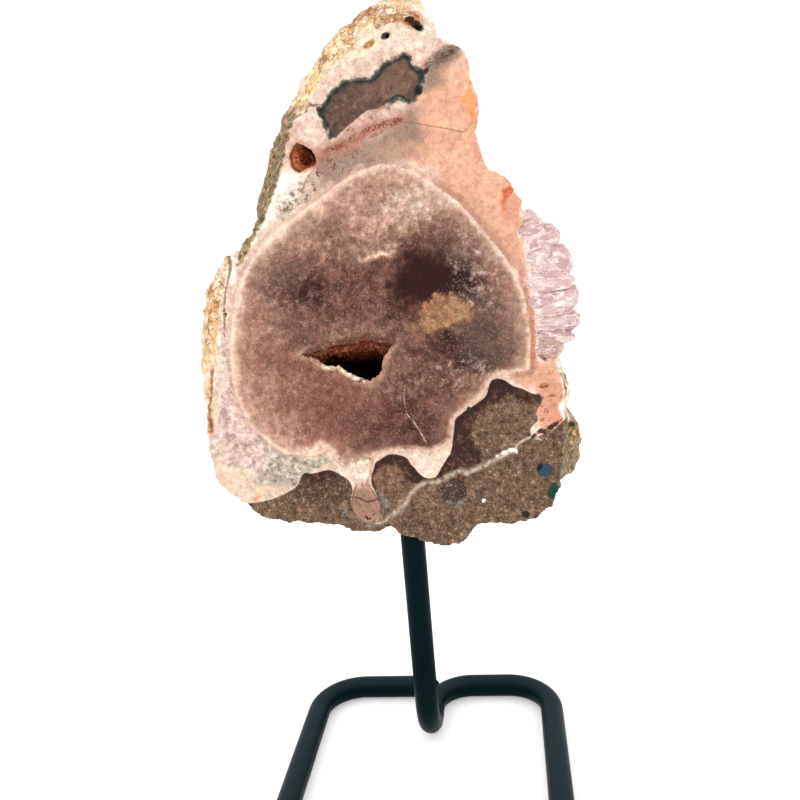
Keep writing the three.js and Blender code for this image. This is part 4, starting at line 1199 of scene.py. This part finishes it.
def weatheredRind():
    # Quartz lumps stained with iron, over basalt skin: rough and uneven with small bright grains.
    material, add = newMaterial("weatheredRind")
    coordinates = add("ShaderNodeTexCoord", {}, output=3)
    fields = addFields(add, coordinates, rindFields)
    colour = addLayers(add, linear(rind["groundColour"]), rindLayers, fields)
    colour = addGrain(add, colour, rind["grain"], fields)
    height = add("ShaderNodeMath", {0: fields["mist"], 1: fields["edges"]}, operation="ADD")
    bump = add("ShaderNodeBump", {
        "Height": height, "Strength": rind["bumpStrength"], "Distance": rind["bumpDepth"] * mm,
    })
    shader = add("ShaderNodeBsdfPrincipled", {
        "Base Color": colour, "Roughness": rind["roughness"], "IOR": quartzIor, "Normal": bump,
        "Specular IOR Level": rind["specular"],
    })
    add("ShaderNodeOutputMaterial", {"Surface": shader})
    return material


roots = {"groundColour": "#e6c4ba", "roughness": 0.4, "bumpDepth": 0.5, "bumpStrength": 0.6}
rootLayers = [
    ("mosaic", 0.5, 0.65, "#f5e4dc", 0.7),
    ("cloud", 0.5, 0.62, "#d3a392", 0.5),
    ("fleck", 0.56, 0.64, "#fffaf4", 0.6),
]


def milkyQuartz():
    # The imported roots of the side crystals: cloudy pink-white sugar.
    material, add = newMaterial("milkyQuartz")
    coordinates = add("ShaderNodeTexCoord", {}, output=3)
    fields = addFields(add, coordinates, rindFields)
    colour = addLayers(add, linear(roots["groundColour"]), rootLayers, fields)
    bump = add("ShaderNodeBump", {
        "Height": fields["mist"], "Strength": roots["bumpStrength"],
        "Distance": roots["bumpDepth"] * mm,
    })
    shader = add("ShaderNodeBsdfPrincipled", {
        "Base Color": colour, "Roughness": roots["roughness"], "IOR": quartzIor, "Normal": bump,
    })
    add("ShaderNodeOutputMaterial", {"Surface": shader})
    return material


def makeSlab():
    piece = copyOfNode("amethyst_slab", "polishedSlab")
    front = -slabHalf
    low, high = front - slab["cutMargin"], slabHalf + slab["cutMargin"]
    cutAway(piece, extrudedCutter("frontCut", slab["recess"], low, slab["recessCoreY"]))
    cutAway(piece, extrudedCutter("coreCut", slab["coreRecess"], low, high))
    for name in ("mouth", "smallMouth"):
        lip = extrudedCutter(name, zones[name], front, front + slab["lipDepth"])
        applyModifier(piece, "BOOLEAN", object=lip, operation="UNION", solver="EXACT")
        bpy.data.objects.remove(lip)
        opening = shrunk(zones[name], slab["lipRoom"])
        cutAway(piece, extrudedCutter(name, opening, low, front + slab["mouthDepth"]))
    applyModifier(piece, "REMESH", mode="VOXEL", voxel_size=slab["grain"] * mm, adaptivity=0)
    sculptRind(piece)
    rng = np.random.default_rng(slab["seed"])
    mainOpening = shrunk(zones["mouth"], slab["lipShare"])
    for name, opening in (("mouth", mainOpening), ("smallMouth", slab["smallOpening"])):
        edge = ragged(np.array(opening), slab["mouthStep"], slab["mouthSwing"][name], rng)
        cutAway(piece, extrudedCutter(name, edge, low, front + slab["mouthDepth"]))
    markZones(piece)
    chooseMaterials(piece, [polishedGeode(), weatheredRind(), milkyQuartz()])
    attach(piece, "root")
    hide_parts("amethyst_slab")
    return piece


polishedSlab = makeSlab()
print("stage: slab,", len(polishedSlab.data.polygons), "faces")

# ---- the side crystals ----
sidePoints = {
    "fan": (-12, 156),  # the crystals spread from here
    "rootX": 39.5,
    "bevel": 0.45, "bevelSteps": 2,
    "saw": 9.85,  # the crystals are sawn this far in front of the middle and behind it
    "front": [  # tip x, tip z, y and radius
        (46.6, 180.4, -6.8, 3.4), (51.4, 176.6, -6.6, 3.9), (54.8, 168.4, -5.4, 6.2),
        (52.6, 172.8, -8.6, 2.6), (56.3, 157.4, -5.6, 5.8), (55.2, 163, -8.4, 2.6),
        (56.6, 150.8, -6.8, 3.6), (54.6, 146, -8, 2.3), (51.2, 142.6, -6.8, 3.8),
    ],
    "rows": [  # y, first z, step between crystals, how much shorter, lean away from the face
        (-3.2, 142.5, 5.8, 0.6, 0.0), (1.0, 145.0, 6.2, 1.2, 0.02), (5.0, 141.5, 5.9, 1.0, 0.05),
        (8.4, 144.0, 5.4, 2.2, 0.07),
    ],
    "reach": [(138, 49), (141.5, 51), (146, 54), (151.5, 56), (158.5, 56), (166, 54), (172.5, 53.8),
              (177, 51.5), (184, 46)],
    "radius": (3.3, 4.8),
    "blunt": 0.84,  # the share of a crystal that is shaft
    "topZ": 182,
    "shiftZ": 0.8,
    "shiftY": 0.6,
    "shortShare": (0.3, 1.3),
    "frontLean": -0.02,
    "squash": (0.82, 1.0),
    "seed": 11,
}
sixthTurn = 1.05  # in radians; more would only repeat a six-sided crystal


def makeCrystalShape(blunt):
    # One quartz crystal along Z, 1 long: a six-sided shaft up to blunt, then an uneven point.
    bpy.ops.mesh.primitive_circle_add(vertices=6, radius=1, fill_type="NGON")
    shape = bpy.context.object
    point = 1 - blunt
    steps = [  # how far the end is drawn out, and how much it is narrowed there
        ((0, 0, blunt), (0.96, 0.96, 1)), ((0.1, 0.06, point * 0.75), (0.55, 0.62, 1)),
        ((0.05, 0, point * 0.25), (0.3, 0.4, 1)),
    ]
    bpy.ops.object.mode_set(mode="EDIT")
    bpy.ops.mesh.select_all(action="SELECT")
    for move, narrow in steps:
        bpy.ops.mesh.extrude_region_move(TRANSFORM_OT_translate={"value": move})
        bpy.ops.transform.resize(value=narrow)
    bpy.ops.mesh.select_all(action="SELECT")
    bpy.ops.mesh.normals_make_consistent(inside=False)
    bpy.ops.object.mode_set(mode="OBJECT")
    return shape


def standCrystal(shape, tip, radius, rng):
    # A copy of the crystal from its root in the stone to its tip.
    x, y, z, lean = tip
    fanX, fanZ = sidePoints["fan"]
    axis = Vector((1, lean, (z - fanZ) / (x - fanX))).normalized()
    length = (x - sidePoints["rootX"]) / axis.x
    deselectAll()
    crystal = shape.copy()
    crystal.data = shape.data.copy()
    bpy.context.scene.collection.objects.link(crystal)
    turn = Matrix.Rotation(rng.uniform(0, sixthTurn), 4, "Z")
    turn = axis.to_track_quat("Z", "Y").to_matrix().to_4x4() @ turn
    squash = rng.uniform(*sidePoints["squash"])
    size = Matrix.Diagonal((radius * mm, radius * squash * mm, length * mm, 1))
    root = Vector((x, y, z)) - axis * length
    crystal.matrix_world = Matrix.Translation(place(*root)) @ turn @ size
    settleInPlace(crystal)
    applyModifier(crystal, "BEVEL", width=sidePoints["bevel"] * mm,
                  segments=sidePoints["bevelSteps"], limit_method="ANGLE")
    return crystal


def tipReach(z):
    heights, reaches = zip(*sidePoints["reach"])
    return float(np.interp(z, heights, reaches))


def makeSideCrystals():
    rng = np.random.default_rng(sidePoints["seed"])
    shape = makeCrystalShape(sidePoints["blunt"])
    crystals = [standCrystal(shape, (x, y, z, sidePoints["frontLean"]), radius, rng)
                for x, z, y, radius in sidePoints["front"]]
    shiftY, shiftZ = sidePoints["shiftY"], sidePoints["shiftZ"]
    for y, first, step, short, lean in sidePoints["rows"]:
        for z in np.arange(first, sidePoints["topZ"], step):
            z = z + rng.uniform(-shiftZ, shiftZ)
            x = tipReach(z) - short * rng.uniform(*sidePoints["shortShare"])
            tip = (x, y + rng.uniform(-shiftY, shiftY), z, lean)
            crystals.append(standCrystal(shape, tip, rng.uniform(*sidePoints["radius"]), rng))
    bpy.data.objects.remove(shape)
    piece = crystals[0]
    for crystal in crystals[1:]:
        applyModifier(piece, "BOOLEAN", object=crystal, operation="UNION", solver="MANIFOLD")
        bpy.data.objects.remove(crystal)
    for sign in (-1, 1):
        bpy.ops.object.mode_set(mode="EDIT")
        bpy.ops.mesh.select_all(action="SELECT")
        bpy.ops.mesh.bisect(plane_co=place(0, sign * sidePoints["saw"], 0),
                            plane_no=(0, sign, 0), use_fill=True, clear_outer=True)
        bpy.ops.object.mode_set(mode="OBJECT")
    piece.name = "sideCrystals"
    low, high = (np.array(corner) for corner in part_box("amethyst_slab"))
    writePoints(piece.data, np.clip(readPoints(piece.data), low, high))
    settleInPlace(piece)
    return piece


glassFields = {
    "veil": ("noise", 1.1, {"Detail": 5, "Roughness": 0.72, "Distortion": 0.6}),
    "facets": ("mosaic", 2.6, {}),
    "joints": ("DISTANCE_TO_EDGE", 2.6, {}),
    "grain": ("noise", 0.9, {"Detail": 4, "Roughness": 0.8}),
}
glassLayers = [
    ("facets", 0.54, 0.66, "#f5e0da", 0.55),
    ("facets", 0.44, 0.3, "#c6969c", 0.5),
    ("veil", 0.46, 0.34, "#c09096", 0.45),
    ("veil", 0.54, 0.64, "#fbf0ea", 0.55),
    ("joints", 0.08, 0.01, "#fdf5ef", 0.8, {"through": [("veil", 0.49, 0.55)]}),
    ("joints", 0.06, 0.01, "#946c6c", 0.6, {"through": [("veil", 0.48, 0.42)]}),
    ("grain", 0.57, 0.65, "#fffaf5", 0.6),
    ("grain", 0.42, 0.34, "#a17b7b", 0.5),
]
glass = {
    "colour": "#e8c4bf", "stretch": 0.4,  # features are drawn out along the crystals
    "veiled": (0.5, 0.62), "clear": (0.05, 0.3), "roughness": (0.12, 0.45),
    "absorption": "#ecd3da", "density": 30,
    "spots": [  # x, y, z, size and colour
        (54.5, -9, 150.5, 4.2, "#c49ca4"), (50.6, -9, 179.4, 1.8, "#7f5c48"),
        (52.4, -9, 177.6, 1.4, "#6e4a34"), (46, -9, 144, 5, "#cda796"),
        (50, -9, 141.5, 3.4, "#c4a084"), (55.4, -9, 146, 1.6, "#8f7280"),
    ],
    "spotCore": 0.4,  # the share of a spot's size where it is at its strongest
    "spotShare": 0.85,
    "bumpDepth": 0.4, "bumpStrength": 0.3,
}


def paleAmethyst():
    # Clear quartz with a breath of violet: crystals of differing tone, white veils, dark creases.
    material, add = newMaterial("paleAmethyst")
    coordinates = add("ShaderNodeTexCoord", {}, output=3)
    stretched = add("ShaderNodeMapping", {"Vector": coordinates, "Scale": (glass["stretch"], 1, 1)})
    fields = addFields(add, stretched, glassFields)
    colour = linear(glass["colour"])
    for x, y, z, size, spotColour in glass["spots"]:
        away = add("ShaderNodeVectorMath", {0: coordinates, 1: place(x, y, z)},
                   operation="DISTANCE")
        near = add("ShaderNodeMapRange", {
            "Value": away, "From Min": size * mm, "From Max": size * glass["spotCore"] * mm,
            "To Max": glass["spotShare"],
        }, interpolation_type="SMOOTHSTEP")
        colour = add("ShaderNodeMix", {"Factor": near, "A": colour, "B": linear(spotColour)},
                     data_type="RGBA")
    colour = addLayers(add, colour, glassLayers, fields, "veil")
    fromVeil, toVeil = glass["veiled"]
    clearLow, clearHigh = glass["clear"]
    smooth, dull = glass["roughness"]
    clear = add("ShaderNodeMapRange", {
        "Value": fields["veil"], "From Min": fromVeil, "From Max": toVeil,
        "To Min": clearHigh, "To Max": clearLow,
    })
    roughness = add("ShaderNodeMapRange", {
        "Value": fields["veil"], "From Min": fromVeil, "From Max": toVeil,
        "To Min": smooth, "To Max": dull,
    })
    bump = add("ShaderNodeBump", {
        "Height": fields["joints"], "Strength": glass["bumpStrength"],
        "Distance": glass["bumpDepth"] * mm,
    })
    shader = add("ShaderNodeBsdfPrincipled", {
        "Base Color": colour, "Roughness": roughness, "IOR": quartzIor, "Normal": bump,
        "Transmission Weight": clear,
    })
    depth = add("ShaderNodeVolumeAbsorption", {
        "Color": linear(glass["absorption"]), "Density": glass["density"],
    })
    add("ShaderNodeOutputMaterial", {"Surface": shader, "Volume": depth})
    return material


sideCrystals = makeSideCrystals()
sideCrystals.data.materials.clear()
sideCrystals.data.materials.append(paleAmethyst())
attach(sideCrystals, "root")
print("stage: side crystals,", len(sideCrystals.data.polygons), "faces")

# ---- the crusts in the hollows ----
growth = {  # the fine crystals that stand on a crust
    "blunt": 0.6,
    "stretch": 2.2,  # how much longer than wide they are
    "sunk": 0.6,  # how deep their roots are in, as a share of their width
    "lean": 0.25,
    "smallestFace": 1e-15,  # in square metres; a face smaller than this has no direction
    "openness": 0.4,  # they grow only on faces turned this far, in mm, towards the hollow
    "roughness": 0.3,
    "gloss": 0.2,
}
mainCrust = {
    "node": "hollow_crystals", "piece": "hollowDruse", "slot": "dark_druse",
    "inside": (-12.5, -10.5, 141.5), "count": 1800, "size": (0.3, 0.85), "seed": 3,
    "colour": "#63290f", "glintFleckColour": "#b07a5f", "shadeFleckColour": "#26100a",
    "paintedShadeColour": "#060302",
    "behindFace": 0.1,  # the points on the rim end this far behind the sawn face
    "litAt": (-12, -10, 147.1),  # bright here, dark below
    "litWay": (0, 0.3, 1), "litDepth": 3.8,
}
smallCrust = {
    "node": "small_hollow_crystals", "piece": "smallHollowDruse", "slot": "orange_druse",
    "inside": (-20.8, -8.6, 204), "count": 260, "size": (0.3, 0.7), "seed": 4,
    "colour": "#a4522f", "glintFleckColour": "#dba487", "shadeFleckColour": "#6b2710",
    "paintedShadeColour": "#1c0805",
    "behindFace": 0.1,
    "litAt": (-22.2, -10, 203),  # bright here, dark at the upper right
    "litWay": (-0.8, 0, -0.7), "litDepth": 4.6,
}


def joinGrowth(piece, shape, crust, rng):
    # Fine crystals standing on the crust's inner faces, added to the crust's own mesh.
    mesh = piece.data
    mesh.calc_loop_triangles()
    points = readPoints(mesh)
    corners = np.array([triangle.vertices for triangle in mesh.loop_triangles])
    a, b, c = points[corners[:, 0]], points[corners[:, 1]], points[corners[:, 2]]
    normals = np.cross(b - a, c - a)
    areas = np.linalg.norm(normals, axis=1)
    normals /= np.maximum(areas, growth["smallestFace"])[:, None]
    inside = np.array(place(*crust["inside"]))
    towards = np.einsum("ij,ij->i", normals, inside - (a + b + c) / 3)
    chance = areas * (towards > growth["openness"] * mm)
    chosen = rng.choice(len(areas), crust["count"], p=chance / chance.sum())
    u, v = rng.random(crust["count"]), rng.random(crust["count"])
    flip = u + v > 1
    u[flip], v[flip] = 1 - u[flip], 1 - v[flip]
    roots = a[chosen] + u[:, None] * (b - a)[chosen] + v[:, None] * (c - a)[chosen]
    shapePoints = readPoints(shape.data)
    low, high = (np.array(corner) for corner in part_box(crust["node"]))
    low[1] = place(0, -slabHalf + crust["behindFace"], 0).y
    faces = [list(polygon.vertices) for polygon in mesh.polygons]
    allPoints = [points]
    start = len(points)
    for root, normal in zip(roots, normals[chosen]):
        size = rng.uniform(*crust["size"]) * mm
        lean = Vector(normal + rng.normal(0, growth["lean"], 3)).normalized()
        turn = Matrix.Rotation(rng.uniform(0, sixthTurn), 3, "Z")
        turn = np.array(lean.to_track_quat("Z", "Y").to_matrix() @ turn)
        grown = (shapePoints * (size, size, size * growth["stretch"])) @ turn.T
        grown = grown + root - np.array(lean) * size * growth["sunk"]
        if (grown < low).any() or (grown > high).any():
            continue
        allPoints.append(grown)
        faces += [[start + i for i in polygon.vertices] for polygon in shape.data.polygons]
        start += len(shapePoints)
    grownMesh = bpy.data.meshes.new(piece.name)
    grownMesh.from_pydata(np.concatenate(allPoints).tolist(), [], faces)
    piece.data = grownMesh


def stainedDruse(crust):
    # Iron-stained quartz points: red-brown, with flecks partly painted as glints and shade, and
    # painted dark where unlit.
    material, add = newMaterial("ironStainedDruse" + crust["piece"])
    coordinates = add("ShaderNodeTexCoord", {}, output=3)
    fields = addFields(add, coordinates, rindFields)
    colour = addLayers(add, linear(crust["colour"]), [
        # pale flecks partly painted glints on the points, dark flecks partly painted shade between
        # them
        ("grain", 0.52, 0.64, crust["glintFleckColour"], 0.7),
        ("grain", 0.47, 0.38, crust["shadeFleckColour"], 0.6),
        # painted shade: the points turn near black where the crust is not lit
        ("lit", 1, 0, crust["paintedShadeColour"], 1, {"wobble": 0.15}),
    ], fields)
    lit = add("ShaderNodeAttribute", {}, output=2, attribute_name="lit")
    gloss = add("ShaderNodeMapRange", {"Value": lit, "To Min": 0.0, "To Max": growth["gloss"]})
    shader = add("ShaderNodeBsdfPrincipled", {
        "Base Color": colour, "Roughness": growth["roughness"], "IOR": quartzIor,
        "Specular IOR Level": gloss,
    })
    add("ShaderNodeOutputMaterial", {"Surface": shader})
    return material


def makeCrust(crust):
    rng = np.random.default_rng(crust["seed"])
    piece = copyOfNode(crust["node"], crust["piece"])
    shape = makeCrystalShape(growth["blunt"])
    joinGrowth(piece, shape, crust, rng)
    bpy.data.objects.remove(shape)
    points = inMillimetres(readPoints(piece.data))
    # painted light and shade: full from the bright point along the given way, darker the other way
    lit = (points - crust["litAt"]) @ np.array(crust["litWay"]) / crust["litDepth"] + 1
    addValues(piece.data, "lit", np.clip(lit, 0, 1))
    piece.data.materials.append(stainedDruse(crust))
    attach(piece, "root")
    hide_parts(crust["node"])
    return piece


hollowDruse = makeCrust(mainCrust)
smallHollowDruse = makeCrust(smallCrust)
crustFaces = len(hollowDruse.data.polygons) + len(smallHollowDruse.data.polygons)
print("stage: crusts,", crustFaces, "faces")

# ---- the stand ----
rod = {
    "radius": rodRadius, "sides": 32, "bendSteps": 14,
    "width": 87, "depth": 87, "cornerRadius": 16, "turnRadius": 14, "riseRadius": 16,
    "weldEndX": -1.4, "stemTop": 103.5,
    "weldAt": (-0.8, 33, 4.8), "weldSize": (2.2, 2.4, 2.4), "weldParts": (20, 12),
    "sharpAngle": 40,  # edges flatter than this are shaded smooth
    "colour": "#031619", "sheenColour": "#222e33", "roughness": (0.3, 0.44), "specular": 0.03,
    "peelSize": 0.7, "peelDepth": 0.05, "peelStrength": 0.3,
    "wearSize": 12, "wearRange": (0.35, 0.65),
    "sheenRange": (0.35, 1.0),  # how far a face looks up before the painted sheen shows, and where it is full
}


def makeRod():
    # One round rod: its end ring is drawn along the straights and spun round the bends.
    z = rod["radius"]
    side = rod["width"] / 2
    frontY = rearBarY - rod["depth"]
    corner, turn, rise = rod["cornerRadius"], rod["turnRadius"], rod["riseRadius"]
    bpy.ops.mesh.primitive_circle_add(
        vertices=rod["sides"], radius=rod["radius"] * mm, fill_type="NGON",
        location=place(rod["weldEndX"], rearBarY, z), rotation=(0, -math.pi / 2, 0))
    piece = bpy.context.object
    piece.name = "powderCoatedRod"
    settleInPlace(piece)
    upward, across = (0, 0, 1), (1, 0, 0)
    route = [
        ("straight", (-side + corner - rod["weldEndX"], 0, 0)),
        ("bend", (-side + corner, rearBarY - corner, z), upward, 1),
        ("straight", (0, -rod["depth"] + 2 * corner, 0)),
        ("bend", (-side + corner, frontY + corner, z), upward, 1),
        ("straight", (2 * side - 2 * corner, 0, 0)),
        ("bend", (side - corner, frontY + corner, z), upward, 1),
        ("straight", (0, rod["depth"] - 2 * corner, 0)),
        ("bend", (side - corner, rearBarY - corner, z), upward, 1),
        ("straight", (-side + corner + turn, 0, 0)),
        ("bend", (turn, rearBarY - turn, z), upward, 1),
        ("straight", (0, -(rearBarY - turn - rise), 0)),
        ("bend", (0, rise, z + rise), across, -1),
        ("straight", (0, 0, rod["stemTop"] - z - rise)),
    ]
    bpy.ops.object.mode_set(mode="EDIT")
    bpy.ops.mesh.select_all(action="SELECT")
    for kind, where, *bend in route:
        if kind == "straight":
            bpy.ops.mesh.extrude_region_move(TRANSFORM_OT_translate={"value": Vector(where) * mm})
        else:
            axis, way = bend
            bpy.ops.mesh.spin(steps=rod["bendSteps"], angle=-way * math.pi / 2,
                              center=place(*where), axis=axis)
    bpy.ops.mesh.select_all(action="SELECT")
    bpy.ops.mesh.remove_doubles(threshold=weldGap * mm)
    bpy.ops.mesh.normals_make_consistent(inside=False)
    bpy.ops.object.mode_set(mode="OBJECT")
    return piece


def addWeld(piece):
    # The bead that joins the rod's end to its own bend.
    deselectAll()
    segments, rings = rod["weldParts"]
    bpy.ops.mesh.primitive_uv_sphere_add(segments=segments, ring_count=rings, radius=mm,
                                         location=place(*rod["weldAt"]))
    bead = bpy.context.object
    bpy.ops.transform.resize(value=rod["weldSize"])
    settleInPlace(bead)
    piece.select_set(True)
    bpy.context.view_layer.objects.active = piece
    bpy.ops.object.join()


def powderCoat():
    # Steel rod under matt black powder coat: near black, with a painted sheen on its upper side.
    material, add = newMaterial("blackPowderCoat")
    coordinates = add("ShaderNodeTexCoord", {}, output=3)
    peelScale, wearScale = perMm(rod["peelSize"]), perMm(rod["wearSize"])
    peel = add("ShaderNodeTexNoise", {"Vector": coordinates, "Scale": peelScale, "Detail": 2})
    wear = add("ShaderNodeTexNoise", {"Vector": coordinates, "Scale": wearScale, "Detail": 5})
    (wearLow, wearHigh), (smooth, dull) = rod["wearRange"], rod["roughness"]
    roughness = add("ShaderNodeMapRange", {
        "Value": wear, "From Min": wearLow, "From Max": wearHigh, "To Min": smooth, "To Max": dull,
    })
    # painted sheen: faces that look up are lighter
    normal = add("ShaderNodeNewGeometry", {}, output=1)
    upward = add("ShaderNodeSeparateXYZ", {"Vector": normal}, output=2)
    sheenLow, sheenHigh = rod["sheenRange"]
    topSheen = add("ShaderNodeMapRange", {"Value": upward, "From Min": sheenLow, "From Max": sheenHigh},
               interpolation_type="SMOOTHSTEP")
    colour = add("ShaderNodeMix", {
        "Factor": topSheen, "A": linear(rod["colour"]), "B": linear(rod["sheenColour"]),
    }, data_type="RGBA")
    bump = add("ShaderNodeBump", {
        "Height": peel, "Strength": rod["peelStrength"], "Distance": rod["peelDepth"] * mm,
    })
    shader = add("ShaderNodeBsdfPrincipled", {
        "Base Color": colour, "Roughness": roughness, "Normal": bump,
        "Specular IOR Level": rod["specular"],
    })
    add("ShaderNodeOutputMaterial", {"Surface": shader})
    return material


powderCoatedRod = makeRod()
addWeld(powderCoatedRod)
makeActive(powderCoatedRod)
bpy.ops.object.shade_smooth_by_angle(angle=math.radians(rod["sharpAngle"]))
powderCoatedRod.data.materials.append(powderCoat())
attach(powderCoatedRod, "root")
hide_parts("stand_rod")
print("stage: stand,", len(powderCoatedRod.data.polygons), "faces")

print("stage: done")
